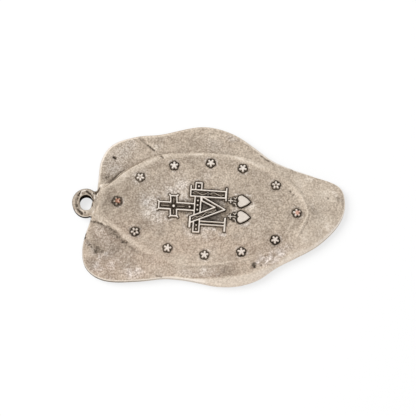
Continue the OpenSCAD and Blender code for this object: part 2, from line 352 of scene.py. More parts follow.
# columns: half width, depth (below zero for a rib), how dark (below zero: how rubbed), and its places
FURROWS = [
    (0.24, 0.06, 0.25, [(8.3, 12), (9.2, 11.2), (10.1, 10.5), (10.8, 9.8)]),
    (0.11, 0.05, 0.4, [(8.8, 11.6), (9.3, 11.1)]),
    (0.14, 0.05, 0.74, [(9.75, 10.75), (10.15, 10.45), (10.8, 9.85)]),
    (0.12, -0.03, -0.4, [(8.9, 12.1), (9.7, 11.3), (10.5, 10.6), (11.2, 10.1)]),
    (0.12, 0.1, 0.56, [(12.1, 8.8), (12.6, 8.4)]), (0.2, 0.25, 0.95, [(4.05, 8.25), (4.35, 8.05)]),
    (0.15, 0.1, 0.62, [(1.2, -3.3), (2.2, -3.45), (3.1, -3.65)]),
    (0.17, 0.08, 0.42, [(3.1, -3.65), (3.7, -3.95), (4.4, -4.3), (5.5, -4.9)]),
    (0.22, 0.08, 0.35, [(5.5, -4.9), (6.2, -5.8), (6.8, -6.5)]),
    (0.13, 0.08, 0.5, [(0.7, -6.7), (1.2, -7.3), (1.7, -7.9), (2.3, -8.4)]),
    (0.22, 0.05, 0.35, [(7.3, -6.9), (8.3, -7.6), (9.6, -8.2)]),
    (0.12, -0.05, -0.5, [(3, -12.7), (4, -11.8)]),
    (0.15, 0.06, 0.4, [(29.2, 10.1), (29.9, 9.65), (30.7, 9.3)]),
    (0.12, 0.05, 0.22, [(34.2, 8.05), (35.2, 7.75)]), (0.11, 0.03, 0.28, [(19.9, 13.7), (20.9, 13.55)]),
    (0.12, 0.03, 0.32, [(12.9, -12), (13.8, -12.1)]), (0.09, 0.03, 0.45, [(16.3, -12.3), (16.4, -12.3)]),
    (0.3, -0.06, -0.22, [(34.3, 5.6), (35.2, 4.9), (36.3, 3.6), (37.2, 2)]),
    (0.18, -0.08, -0.5, [(36.6, 3.1), (37.2, 2), (37.7, 0.7)]),
    (0.11, -0.08, -0.65, [(37.7, 0.7), (37.3, -0.8), (36.6, -2.4), (36.2, -3.8)]),
    (0.13, 0.06, 0.2, [(38, 0.3), (37.8, -0.9), (37.2, -2), (36.8, -3)]),
    (0.1, -0.04, -0.35, [(35.4, -0.7), (34.5, -2.5), (34.1, -3.6)]),
    (0.1, 0.04, 0.2, [(35.1, -0.9), (34.2, -2.6), (33.8, -3.6)]),
    (0.34, -0.05, -0.6, [(26.2, 9.2), (27.7, 8.65), (28.8, 8.2), (29.9, 8)]),
    (0.15, 0.03, 0.12, [(28.3, 7.8), (29.5, 7.4), (30.6, 6.9)]),
    (0.55, 0.08, 0.11, [(21.8, -10.7), (23.8, -10.6), (25.9, -10.5), (27.7, -9.9)]),
    (0.17, 0.2, 0.62, [(2.05, 2.55), (1.85, 1.9), (1.55, 1.5)]),
]
# broad patches make the plate darker on its left and lighter toward its right end; the dark patches at (2.9,
# 4.3) and (24.8, -10.5) are painted shade just outside the rim
# columns: x, y, radius, patina, rubbed, crust
TONES = [
    (4.2, 6.2, 2.2, 0.22, 0, 0.6), (2.9, 4.3, 0.9, 0.52, 0, 0.3), (5.4, 9.6, 1.8, 0.15, 0, 0.55),
    (5, 8.8, 2.4, 0.13, 0, 0.5), (7.5, 9.8, 1.5, 0.08, 0, 0.2), (6.6, 10.9, 1.4, 0.05, 0.05, 0.55),
    (8, 0.5, 5, 0.18, 0, 0), (4, 0.2, 2.6, 0.27, 0, 0), (8.8, 4.9, 1.3, 0, 0.3, 0.9),
    (10.2, 0.9, 1.4, 0.02, 0, 0.8), (11.8, -0.6, 2.3, 0.04, 0, 0.8), (14.4, 2.6, 1.8, 0.04, 0, 0.75),
    (16.2, 3.9, 1.8, 0.03, 0.04, 0.68), (11.4, 2.7, 1.5, 0.1, 0, 0.4), (12.4, -2.2, 1.1, 0.04, 0, 0.65),
    (18.2, -4, 1.2, 0, 0.28, 0.7), (20.6, -4.4, 1, 0, 0.05, 0.5), (26.2, -4.2, 1, 0.13, 0, 0.2),
    (23, 5.3, 2.2, 0, 0.18, 0.1), (20.2, 5.6, 1.2, 0, 0, 0.35), (27.9, 1.2, 1, 0, 0.25, 0.45),
    (23.9, 0.3, 1.1, 0.08, 0, 0), (20.6, -9.3, 2.4, 0, 0.38, 0), (17, -9.2, 1.5, 0, 0.5, 0.1),
    (24.5, -8.3, 1.5, 0, 0.22, 0), (27.9, -8.7, 1, 0, 0.16, 0), (10.1, -3.5, 1.3, 0.26, 0, 0),
    (8.7, -4.7, 1.15, 0.22, 0, 0), (32.4, -4.6, 1.2, 0.16, 0, 0), (12.8, -4, 1.1, 0.21, 0, 0),
    (12.8, -7.3, 1.6, 0, 0.34, 0.15), (10.4, -1.3, 1.1, 0, 0.2, 0.8), (28, -0.8, 0.8, 0, 0.22, 0.2),
    (17.4, 7.9, 1.6, 0.15, 0, 0), (2.9, -4.8, 1.4, 0.08, 0, 0.45), (4.3, -6.3, 1.8, 0.1, 0, 0.42),
    (5.8, -5.7, 0.9, 0.25, 0, 0.1), (5.2, -7.9, 2.4, 0.25, 0, 0.32), (2.9, -8.2, 1, 0.38, 0, 0.1),
    (2.2, -7.2, 1.7, 0.2, 0, 0), (7.4, -7, 1.5, 0.28, 0, 0.1), (1.8, -10.6, 1.2, 0.25, 0, 0.3),
    (8.2, -10, 1.7, 0.15, 0, 0.2), (3, -9.3, 0.7, 0.05, 0, 0.8), (4.4, -8.8, 0.8, 0.12, 0, 0.8),
    (2.7, -10.7, 0.9, 0.04, 0, 0.75), (5.3, -10.7, 0.9, 0.06, 0, 0.65), (3.6, -11.2, 0.7, 0.05, 0, 0.6),
    (4.6, -12.2, 1.2, 0.12, 0, 0.1), (8.2, -11.9, 1.1, 0, 0, 0.85), (9.6, -11.4, 1.1, 0, 0, 0.8),
    (1, -8.7, 1, 0.06, 0.22, 0), (1.6, -6.2, 1.1, 0.22, 0, 0), (2.2, 3, 0.6, 0, 0.45, 0),
    (13, -12.2, 2, 0, 0.3, 0.2), (16.8, -12.3, 1.8, 0, 0.2, 0.2), (30.7, -8.2, 1.2, 0, 0, 1),
    (32, -7.4, 1.3, 0, 0, 1), (33.5, -6.4, 1.1, 0, 0, 0.9), (29.9, -8.9, 0.7, 0.05, 0, 0.85),
    (20.6, -11, 0.9, 0.02, 0.05, 0.75), (18, -11.6, 1.2, 0, 0.2, 0.35), (20.5, 13.2, 1.6, 0, 0.3, 0),
    (20.8, 11.6, 1.4, 0.1, 0, 0.35), (28.2, 4, 2, 0.08, 0, 0), (20.5, -12.4, 1.2, 0.1, 0, 0),
    (11.3, 12.6, 1.6, 0.22, 0, 0.2), (17.6, 11.8, 1.5, 0.18, 0, 0), (24.8, -10.5, 1.8, 0.3, 0, 0),
    (39.3, -0.2, 1.2, 0.05, 0, 0.2), (40.3, 4, 2.4, 0, 0.6, 0.1), (36, 5.8, 2.2, 0, 0.6, 0),
    (33, 8.3, 2, 0, 0.45, 0), (29.3, 10.4, 1.2, 0, 0.5, 0), (41.5, -1.5, 3, 0, 0.48, 0),
    (37.5, -3.8, 2, 0, 0.58, 0), (39, -5.5, 3, 0, 0.45, 0.1), (12, -10.2, 1.6, 0.03, 0, 0),
    (29.3, 8.4, 1.2, 0, 0.35, 0), (26.5, 10.3, 1.5, 0, 0.2, 0), (31.5, 6.9, 1.2, 0, 0.25, 0),
    (43.7, 3.5, 0.9, 0.16, 0, 0), (38.7, 0.8, 1, 0.15, 0, 0), (35.9, 0.1, 1.3, 0.1, 0, 0),
    (30.5, -2.6, 0.9, 0, 0.15, 0), (11.3, 11.6, 1, 0.14, 0, 0), (30.6, 2.5, 1.7, 0.1, 0, 0),
    (14.5, 11.7, 1.3, 0.1, 0, 0), (12.4, 6.2, 1.4, 0.1, 0, 0), (10.8, 8.6, 1.2, 0, 0.15, 0),
    (18.8, 6.7, 1.3, 0.12, 0, 0), (32.5, 0.5, 2.2, 0, 0.08, 0), (32.4, -5.4, 1, 0.08, 0, 0),
    (36.4, 3.9, 1.6, 0, 0.5, 0), (43, 1.4, 1.5, 0, 0.3, 0), (2.6, 9.4, 1.2, 0, 0.3, 0.2),
    (34.8, -5.5, 0.8, 0, 0, 0.5), (31.2, -4, 1.3, 0.12, 0, 0), (31.8, 4.2, 1.6, 0.11, 0, 0),
    (11.3, 10.3, 0.9, 0.04, 0, 0.45), (15.6, 10.4, 1, 0, 0.15, 0.1), (22.8, 10.2, 1.2, 0, 0.15, 0.2),
    (28.8, -3, 1, 0, 0.2, 0.1), (30.8, 8.5, 1, 0, 0.5, 0), (6.2, 1.6, 1, 0.23, 0, 0),
    (2.3, -2.4, 1, 0.25, 0, 0), (10.4, -6.2, 1, 0, 0.28, 0), (12.2, 4.3, 1.5, 0.09, 0, 0.2),
]
print(len(DENTS), "dents,", len(FURROWS), "furrows and", len(TONES), "patches of tone")

# %% [markdown]
# A mark changes the height and the finish together: a hollow holds patina, and a rib is rubbed bare. The
# patches of tone overlap, and where they do the stronger one counts, so that none is doubled.

# %% Marks as height and finish


def marks_at(x, y, dents, furrows):
    """Height, darkness and rubbing that the marks add: bells in height, with a firmer border in tone."""
    spots = [(np.hypot(x - mark_x, y - mark_y), radius, amount, tone)
             for mark_x, mark_y, radius, amount, tone in dents]
    lines = [(nearest(x, y, list(zip(places, places[1:]))), half, -depth, tone)
             for half, depth, tone, places in furrows]
    height, dark, bare = (np.zeros(np.shape(x)) for _ in range(3))
    for away, size, amount, tone in spots + lines:
        firm = 1 - smooth(0.4 * size, 1.5 * size, away)
        height += amount * bell(away, size)
        dark = np.maximum(dark, tone * firm)
        bare = np.maximum(bare, -tone * firm)
    return height, dark, bare


def tones_at(x, y):
    """Patina, rubbing and crust of the patches: the strongest bell of each at every point."""
    x, y = wander(x, y, 0.5, 1.3, 30)
    total = np.zeros((3,) + np.shape(x))
    for tone_x, tone_y, radius, *amounts in TONES:
        near = bell(np.hypot(x - tone_x, y - tone_y), radius)
        total = np.maximum(total, np.multiply.outer(amounts, near))
    return total


print("the deepest dent goes down", -min(row[3] for row in DENTS), "mm")

# %% [markdown]
# The height is built up from the panel's floor: the rim's crest, its slope, the lobe that runs out to
# the edge, the lip, and then noise. Sand casting leaves the lobes rougher than the panel.

# %% Form of the plate
CREST_SPREAD = 0.8
LIP_RISE = 0.04
# the near left lobe is the lumpiest part of the casting
LUMPY_AT, LUMPY_SPREAD = (3.5, -8.0), 4.0


def on_plate(x, y):
    """Where a point lies: the tables' values at its angle, its distance past the crest, its share of lip."""
    x, y = np.broadcast_arrays(x, y)
    angle = np.degrees(np.arctan2(y, x - PANEL_X))
    reach = np.hypot(x - PANEL_X, y)
    edge = table_at(OUTLINE, angle, 1)
    at = SimpleNamespace(x=x, y=y, angle=np.mod(angle, 360), edge_z=table_at(OUTLINE, angle, 2))
    at.rise, slope, at.foot_z, at.shine, at.band, at.band_half, lip, at.shade = (
        table_at(RIM, angle, column) for column in range(2, 10))
    at.past = reach - crest_reach(angle)
    at.room = np.maximum(edge - EDGE_ROUND - crest_reach(angle), 0.2)
    at.slope = np.minimum(slope, 0.9 * at.room)
    at.broad = smooth(0.5, 1.2, lip)
    # the lip's inner border is firm below the letter, and fades toward the medal's tip
    at.soft = smooth(300, 322, at.angle) * (1 - smooth(345, 359, at.angle))
    firm_side = lip - 0.2 - 0.1 * at.broad - 0.7 * at.soft
    faded_side = lip + 0.1 + 0.2 * at.broad + 0.7 * at.soft
    at.on_lip = 1 - smooth(firm_side, faded_side, edge - reach)
    at.off_panel = smooth(0.2, 1.0, at.past) * (1 - at.on_lip)
    return at


def plate_height(at):
    """Panel floor and a bell at the crest; past it a soft step to the lobe, a ramp to the edge; and noise."""
    crest_z = FLOOR_OF_PANEL + at.rise
    inside = FLOOR_OF_PANEL + at.rise * bell(at.past, CREST_SPREAD)
    along = np.clip((at.past - at.slope) / np.maximum(at.room - at.slope, 0.1), 0, 1)
    lobe = at.foot_z + (at.edge_z - at.foot_z) * along
    lobe = lobe + LIP_RISE * at.broad * at.on_lip * (1 - at.soft)
    height = np.where(at.past < 0, inside, crest_z + (lobe - crest_z) * smooth(0, 1, at.past / at.slope))
    lumpy = bell(np.hypot(at.x - LUMPY_AT[0], at.y - LUMPY_AT[1]), LUMPY_SPREAD)
    return (height + 0.02 * lattice_noise(at.x, at.y, 3.0, 1) + 0.012 * lattice_noise(at.x, at.y, 1.1, 2)
            + 0.008 * (1 + at.off_panel) * lattice_noise(at.x, at.y, 0.6, 3)
            + lumpy * (0.03 * lattice_noise(at.x, at.y, 1.6, 4) + 0.025 * lattice_noise(at.x, at.y, 0.8, 5)))


print("the rim's crest stands up to", RIM[:, 2].max(), "mm over the panel's floor")

# %% [markdown]
# Fingers and cloth rub the high places bright: the lip, and a band along the rim. On the lip's rounded
# shoulder the brightness is partly a painted highlight. The band fades slowly toward the panel and ends
# sharply on the outside, where painted shade darkens the ground, and a fainter painted shade lies just
# inside the crest. The rest is mottled, with brown patina and a whitish crust in slow patches.

# %% Finish of the plate


def rubbed_band(at):
    """The rim's bright band, its outer border a little wavy, and the painted shade beyond it that fades
    outward.
    """
    x, y = at.x, at.y
    wavy = at.past - at.band + 0.08 * lattice_noise(x, y, 0.5, 12) + 0.1 * lattice_noise(x, y, 1.3, 15)
    sharp = 0.85 * np.clip(3 * at.shade - 0.4, 0, 1)
    on_band = (1 - smooth(0.1, 1.7, -wavy / at.band_half)) * (1 - smooth(sharp, 1.15, wavy / at.band_half))
    uneven = 1 + 0.35 * lattice_noise(x, y, 0.7, 13)
    on_band = at.shine * on_band * uneven * (1 + 0.35 * lattice_noise(x, y, 2.2, 14))
    beyond = wavy - 1.1 * at.band_half
    outward = np.maximum(beyond, 0)
    shade = at.shade * smooth(-0.12, 0.03, beyond)
    return on_band, shade * (0.5 * bell(outward, 0.3) + 0.6 * bell(outward, 1.2))


def tip_streaks(at, crust):
    """Crust near the tip was dragged into streaks along the edge: less crust and more patina between them."""
    streaks = lattice_noise(0.29 * at.x + 0.2 * at.y, 0.8 * at.y - 0.57 * at.x, 0.42, 19)
    gaps = 0.25 * at.soft * crust * smooth(0.25, 0.75, streaks)
    return crust * (1 - 0.55 * at.soft * smooth(0.0, 0.8, streaks)), gaps


def plate_at(x, y):
    """Height and finish of the plate's upper side: its form with the marks, band, lip, tones and mottle."""
    at = on_plate(x, y)
    x, y = at.x, at.y
    mark_height, mark_dark, mark_bare = marks_at(*wander(x, y, 0.12, 0.7, 20), DENTS, FURROWS)
    patina, rubbed, crust = tones_at(x, y)
    brown = smooth(-0.1, 0.9, lattice_noise(x, y, 3.6, 8) + 0.5 * lattice_noise(x, y, 1.4, 9))
    white = smooth(0.1, 1.0, lattice_noise(x, y, 2.2, 10) + 0.6 * lattice_noise(x, y, 0.8, 11))
    on_band, shade = rubbed_band(at)
    # painted shade goes into the patina value: the shade beyond the band, and a faint bell just inside the
    # crest
    patina = np.maximum(patina, shade) + 0.06 * bell(at.past + 1.1, 0.7) + 0.06 * brown
    patina = patina * (1 - on_band) * (1 - 0.8 * at.on_lip) * (1 - mark_bare)
    # the lip is rubbed bright, and partly painted with a highlight on its rounded shoulder; less where it is
    # broad, and on the far side
    far_side = smooth(40, 80, at.angle) * (1 - smooth(130, 150, at.angle))
    lip_rub_and_highlight = 0.9 - 0.28 * at.broad - 0.38 * far_side + 0.08 * at.soft
    rubbed = np.maximum(np.maximum(rubbed, on_band), lip_rub_and_highlight * at.on_lip)
    crust, gaps = tip_streaks(at, crust)
    rubbed = rubbed * (1 - 0.9 * at.soft * smooth(0.1, 0.6, crust))
    crust = np.maximum(crust, white * (0.15 + 0.3 * at.off_panel))
    crust = crust * (1 - at.on_lip * (1 - at.soft)) * (1 - on_band)
    patina = np.maximum(np.maximum(patina, gaps), mark_dark)
    rubbed = np.maximum(rubbed, mark_bare) * (1 - mark_dark)
    # painted warm light: the lower half, and a little more round (8, -5), is tinted toward copper, so it
    # looks warmer than the top
    thin = 0.055 * smooth(0, -8, y) * (1 + 0.4 * lattice_noise(x, y, 2.5, 18))
    thin = thin + 0.03 * bell(np.hypot(x - 8, y + 5), 3.0)
    # on the plate the copper value carries only this painted warm tint; the stars add the bare copper
    return {"z": plate_height(at) + mark_height, "patina": patina, "polish": rubbed, "crust": crust,
            "copper": thin * (1 - rubbed)}


middle = plate_at(np.array([PANEL_X]), np.array([0.0]))
print("the panel's middle lies", middle["z"][0].round(2), "mm above the hole's middle")

# %% [markdown]
# The ornament is the traditional one: a letter M with a bar through it, a cross on the bar, two hearts
# and twelve stars. Its strokes aren't solid: thin raised lines run round them, and between the lines the
# ground is sunk and dark. So the drawing is a few closed outlines, in mm from the middle of the bar.

# %% Drawing of the letter and the cross
EMBLEM_X, EMBLEM_Y = 18.95, 0.2
CROSS_X, CROSS_TIP, CROSS_ARM, CROSS_HALF = -4.04, -6.55, 1.75, 0.59
# the short arms are narrower and lean a little
ARM_HALF, ARM_LEAN = 0.53, 0.11
BAR_HALF, BAR_END = 0.5, 4.3
SPUR = 0.2
CROSS = [(CROSS_TIP, -CROSS_HALF), (CROSS_X - ARM_HALF, -CROSS_HALF),
         (CROSS_X - ARM_HALF + ARM_LEAN, -CROSS_ARM), (CROSS_X + ARM_HALF + ARM_LEAN, -CROSS_ARM),
         (CROSS_X + ARM_HALF, -CROSS_HALF), (-BAR_HALF, -CROSS_HALF),
         (-BAR_HALF, CROSS_HALF), (CROSS_X + ARM_HALF, CROSS_HALF),
         (CROSS_X + ARM_HALF - ARM_LEAN, CROSS_ARM), (CROSS_X - ARM_HALF - ARM_LEAN, CROSS_ARM),
         (CROSS_X - ARM_HALF, CROSS_HALF), (CROSS_TIP, CROSS_HALF)]
BAR = [(-BAR_HALF, -BAR_END), (BAR_HALF, -BAR_END), (BAR_HALF, BAR_END), (-BAR_HALF, BAR_END)]
THICK_LEG = [(-1.3, 1.92), (4.65, 1.92), (4.65, 3.06), (-1.3, 3.06)]
DIAGONALS = [(0.66, 1.92), (4.65, -0.1), (-1.15, -2.75), (-1.15, -1.68), (2.95, 0.18), (0.66, 1.2)]
THIN_LEG = [(0.5, -2.92), (4.75, -2.92), (4.75, -2.38), (0.5, -2.38)]
# two lines side by side make a broad serif
SERIFS = [((-1.3, 1.92), (-1.3, 3.75)), ((4.75, 1.5), (4.75, 3.6)),
          ((-1.18, -3.45), (-1.18, -1.68)), ((-1.08, -3.45), (-1.08, -1.9)),
          ((4.84, -3.85), (4.84, -1.6)), ((4.76, -3.85), (4.76, -1.65))]
SPURS = [((CROSS_TIP, side * CROSS_HALF), (CROSS_TIP - SPUR, side * (CROSS_HALF + SPUR))) for side in (-1, 1)]
SPURS += [((CROSS_X - end * ARM_LEAN + side * ARM_HALF, end * CROSS_ARM),
           (CROSS_X - end * ARM_LEAN + side * (ARM_HALF + SPUR), end * (CROSS_ARM + SPUR)))
          for side in (-1, 1) for end in (-1, 1)]
# the ground that the letter's legs close in
COURT = [(BAR_HALF, -2.4), (5.5, -2.4), (5.5, 1.9), (BAR_HALF, 1.9)]
# faint ridges along the middle of the cross's arms
VEINS = [((-6.1, 0), (-4.8, 0)), ((-3.4, 0), (-2.2, 0)),
         ((CROSS_X, 0.65), (CROSS_X - 0.07, 1.35)), ((CROSS_X + 0.03, -0.65), (CROSS_X + 0.09, -1.4))]
# vines along the letter's strokes, columns: start, end, how far they swing, length of one wave
VINES = [((-1.0, 2.49), (1.3, 2.49), 0.22, 2.3), ((2.0, 2.49), (4.4, 2.49), 0.22, 2.4),
         ((-0.8, -2.12), (3.2, -0.2), 0.18, 2.2)]
# columns: x, y, radius
PEARLS = [(CROSS_X, 0, 0.3), (-1.33, 0, 0.21), (0, 1.2, 0.2), (0, 0.4, 0.2), (0, -0.4, 0.2), (0, 3.7, 0.22),
          (0, -3.1, 0.18), (0, -3.8, 0.18),
          (1.62, 2.68, 0.1), (1.62, 2.3, 0.1), (1.43, 2.49, 0.1), (1.81, 2.49, 0.1)]
print("letter and cross are", round(THIN_LEG[1][0] - CROSS_TIP, 2), "mm long and", 2 * BAR_END, "mm wide")

# %% [markdown]
# A closed outline serves twice. Its sides are the raised lines, and a point is inside it when a ray from
# the point crosses an odd number of them. A heart is made of simpler shapes: two discs for its lobes and
# a body between them, each with a distance, and the smaller distance counts.

# %% Closed shapes and hearts
HEARTS = [(7.82, 1.55), (7.9, -1.18)]
HEART_LONG, HEART_WIDE, HEART_SOFT = 2.05, 1.97, 0.05
# how far a heart's sides swell out between shoulder and tip
BELLY_X, BELLY_Y = 0.04, 0.09
# beside a heart, from its middle: a small cross, and tongues of flame in a dark hollow
SMALL_CROSS = [((-2.62, 0.0), (-1.9, 0.0)), ((-2.25, -0.36), (-2.25, 0.36))]
FLAMES = [((-1.75, 0.55), (-1.5, 0.35)), ((-1.5, 0.35), (-1.25, 0.65)), ((-1.7, 0.0), (-1.35, -0.05)),
          ((-1.75, -0.4), (-1.45, -0.45)), ((-1.45, -0.45), (-1.3, -0.85))]


def sides(corners):
    """The straight sides of a closed outline, as pairs of ends."""
    return list(zip(corners, corners[1:] + corners[:1]))


def within(x, y, corners):
    """True inside a closed outline: a ray from the point crosses an odd number of its sides."""
    odd = np.zeros(np.shape(x), dtype=bool)
    for (x0, y0), (x1, y1) in sides(corners):
        if y0 != y1:
            odd ^= ((y0 > y) != (y1 > y)) & (x < (x1 - x0) * (y - y0) / (y1 - y0) + x0)
    return odd


def to_heart(x, y):
    """Signed distance to a heart on its side, less than 0 inside: two round lobes and a blunt-tipped body."""
    lobe = 0.27 * HEART_WIDE
    lobe_x, lobe_y = lobe - HEART_LONG / 2, HEART_WIDE / 2 - lobe
    run = np.array([HEART_LONG / 2 - lobe_x, -lobe_y])
    turn = np.arctan2(run[1], run[0]) + np.arccos(lobe / np.hypot(*run))
    side_x, side_y = lobe_x + lobe * np.cos(turn), lobe_y + lobe * np.sin(turn)
    belly_x, belly_y = (side_x + HEART_LONG / 2) / 2 + BELLY_X, side_y / 2 + BELLY_Y
    body = [(HEART_LONG / 2, 0), (belly_x, belly_y), (side_x, side_y), (lobe_x, lobe_y),
            (lobe_x, -lobe_y), (side_x, -side_y), (belly_x, -belly_y)]
    to_body = nearest(x, y, sides(body)) * np.where(within(x, y, body), -1, 1)
    return np.minimum(to_body, np.hypot(x - lobe_x, np.abs(y) - lobe_y) - lobe) - HEART_SOFT


heart_depth = -to_heart(np.zeros(1), np.zeros(1))[0]
print("a heart's middle lies", heart_depth.round(2), "mm inside its outline")

# %% [markdown]
# Each part of the ornament turns a distance into a height: a line is a rounded ridge as far as it is
# wide, a pearl is a dome, and a heart is a flat cushion. The tops are the bright silver that rubbing has
# bared, so each part says how bright it is as well.

# %% Ornament as height
LINE_RISE = 0.3
LINE_FLAT, LINE_FOOT = 0.06, 0.19
HAIR_FLAT, HAIR_FOOT = 0.03, 0.11
HEART_RISE = 0.33
FLAME_RISE = 0.2


def ridge(away, flat=LINE_FLAT, foot=LINE_FOOT):
    """1 on a line's flat top, falling to 0 at its foot."""
    return 1 - smooth(flat, foot, away)


def scroll(x, y, start, end, amplitude, wave):
    """1 on a vine, a sine wave about the line from start to end, and less on a weaker one against it."""
    run = np.subtract(end, start)
    length = np.hypot(*run)
    along = ((x - start[0]) * run[0] + (y - start[1]) * run[1]) / length
    across = ((y - start[1]) * run[0] - (x - start[0]) * run[1]) / length
    swing = amplitude * np.sin(2 * np.pi * along / wave)
    vine = ridge(np.abs(across - swing), HAIR_FLAT, HAIR_FOOT)
    other = 0.7 * ridge(np.abs(across + 0.6 * swing), HAIR_FLAT, HAIR_FOOT)
    return ((along > 0) & (along < length)) * np.maximum(vine, other)


def letter_lines(u, v):
    """Distance to the nearest line of letter, bar and cross, and whether a point is inside one of them."""
    strokes = within(u, v, THICK_LEG) | within(u, v, DIAGONALS)
    # the bar passes behind the letter's strokes
    to_bar = np.where(strokes, 9.0, nearest(u, v, sides(BAR)))
    outlines = sides(CROSS) + sides(THICK_LEG) + sides(DIAGONALS) + sides(THIN_LEG)
    lines = np.minimum(to_bar, nearest(u, v, outlines + SERIFS + SPURS))
    return lines, strokes | within(u, v, CROSS) | within(u, v, BAR) | within(u, v, THIN_LEG)


def letter_relief(u, v, lines, inside):
    """Height and bright tops: ridges on the lines, fainter ones on vines and veins, and domed pearls."""
    vine = np.max([scroll(u, v, *row) for row in VINES], axis=0)
    faint = np.maximum(0.8 * vine, 0.66 * ridge(nearest(u, v, VEINS), HAIR_FLAT, HAIR_FOOT)) * inside
    rise = ridge(lines)
    # between its lines a stroke is sunk
    height = LINE_RISE * np.maximum(rise, faint) - 0.06 * inside * (1 - rise)
    # the thin leg's lines are a little duller
    dim = 0.12 * (u > 0.6) * bell(v + 2.65, 0.6)
    bright = np.maximum(ridge(lines, 0.12, 0.2) * (1 - dim), faint)
    for pearl_x, pearl_y, radius in PEARLS:
        away = np.hypot(u - pearl_x, v - pearl_y)
        dome = np.sqrt(np.clip(1 - (away / radius) ** 2, 0, 1))
        height = np.maximum(height, LINE_RISE * dome * (away < radius))
        bright = np.maximum(bright, 1 - smooth(0.65 * radius, radius, away))
    return height, bright


def hearts_relief(u, v):
    """Height, bright tops, distance outside and hollow of the hearts: cushions, and ridges beside them."""
    height, bright, hollow = (np.zeros(np.shape(u)) for _ in range(3))
    outside = np.full(np.shape(u), np.inf)
    for heart_x, heart_y in HEARTS:
        heart = to_heart(u - heart_x, v - heart_y)
        star = nearest(u - heart_x, v - heart_y, SMALL_CROSS)
        flames = nearest(u - heart_x, v - heart_y, FLAMES)
        beside = np.maximum(ridge(star, 0.05, 0.15), ridge(flames, 0.04, 0.13))
        height = np.max([height, HEART_RISE * smooth(0.16, -0.14, heart), FLAME_RISE * beside], axis=0)
        tops = np.maximum(0.9 * ridge(star, 0.08, 0.16), 0.85 * ridge(flames, 0.06, 0.13))
        bright = np.max([bright, 0.9 * smooth(0.05, -0.06, heart), tops], axis=0)
        outside = np.minimum(outside, np.minimum(np.maximum(heart, 0) + 0.1, star + 0.06))
        oval = np.hypot((u - heart_x + 1.6) / 0.7, (v - heart_y + 0.05) / 0.95)
        hollow = np.maximum(hollow, 0.84 * (1 - smooth(0.8, 1.2, oval)))
    return height, bright, outside, hollow


print(len(PEARLS), "pearls, the largest", 2 * max(row[2] for row in PEARLS), "mm wide")

# %% [markdown]
# The same distances say where the patina stayed: nearly black between the lines, in a narrow dark border
# round them, and in a softer shade farther out. A whitish crust dried round the ornament, where no cloth
# came close enough.

# %% Finish of the ornament


def border_patina(u, v, outside):
    """A dark border, firm to 0.42 mm from the lines and soft to 0.8 mm, wide about the letter."""
    wide = smooth(-2.5, -0.5, u) * (1 - 0.8 * smooth(1.5, 3.5, -v))
    wide = wide * (1 - 0.7 * bell(np.hypot(u + 1.7, v - 3.4), 1.2))
    deep = 0.7 + 0.12 * smooth(-5.2, -4.4, u) + 0.14 * smooth(-1.6, -1.0, u)
    deep = deep - 0.2 * smooth(2.6, 3.2, -v) - 0.12 * bell(np.hypot(u - 3.4, v - 0.1), 1.0)
    firm_border = deep * (1 - smooth(0.22, 0.42, outside))
    soft_border = (0.15 + 0.2 * wide) * (1 - smooth(0.3, 0.8, outside))
    return np.maximum(firm_border, soft_border)


def ornament_at(x, y):
    """Height, patina, brightness and crust of letter, cross and hearts: the highest and darkest counts."""
    u, v = x - EMBLEM_X, y - EMBLEM_Y
    lines, inside = letter_lines(u, v)
    letter_height, letter_bright = letter_relief(u, v, lines, inside)
    hearts_height, hearts_bright, hearts_outside, hollow = hearts_relief(u, v)
    height, bright = np.maximum(letter_height, hearts_height), np.maximum(letter_bright, hearts_bright)
    outside = np.minimum(np.where(inside, 0, lines), hearts_outside)

    # the court is darkest close to the lines and away from its open end
    in_court = within(u, v, COURT)
    court = in_court * (0.955 + 0.02 * np.sign(v) - 0.22 * smooth(0.15, 0.6, lines))
    court = np.maximum(court * (1 - 0.5 * smooth(2.4, 5.2, u)), hollow)
    patina = np.maximum(border_patina(u, v, outside), court)
    # two shadows: before the court's open end, and on both sides of the cross's foot
    patina = np.maximum(patina, 0.14 * bell(np.hypot(u - 5.0, 0.8 * v), 1.1))
    patina = np.maximum(patina, 0.48 * bell(to_line(u, np.abs(v), (-3.0, 0.85), (-0.8, 1.15)), 0.45))
    crust = 0.65 * smooth(0.25, 0.5, outside) * (1 - smooth(0.6, 1.6, outside))
    crust = crust * smooth(-0.4, 0.5, lattice_noise(x, y, 1.1, 17))
    crust = np.maximum(crust, 0.7 * in_court * (1 - smooth(3.6, 5.0, u)))
    # the ground between the lines and close to them is sunk
    height = height - 0.05 * (1 - smooth(0.15, 0.5, outside)) * (1 - np.maximum(ridge(lines), bright))
    return height, patina * (1 - bright), bright, crust * (1 - bright)


pearl_height = ornament_at(np.array([EMBLEM_X + CROSS_X]), np.array([EMBLEM_Y]))[0]
print("the pearl on the cross stands", pearl_height[0].round(2), "mm over the panel")

# %% [markdown]
# A star is five rounded petals, sunk in a dark ring that follows them. Folding the angle round the star
# into one petal's share means that a single petal is drawn, and it serves for all five.

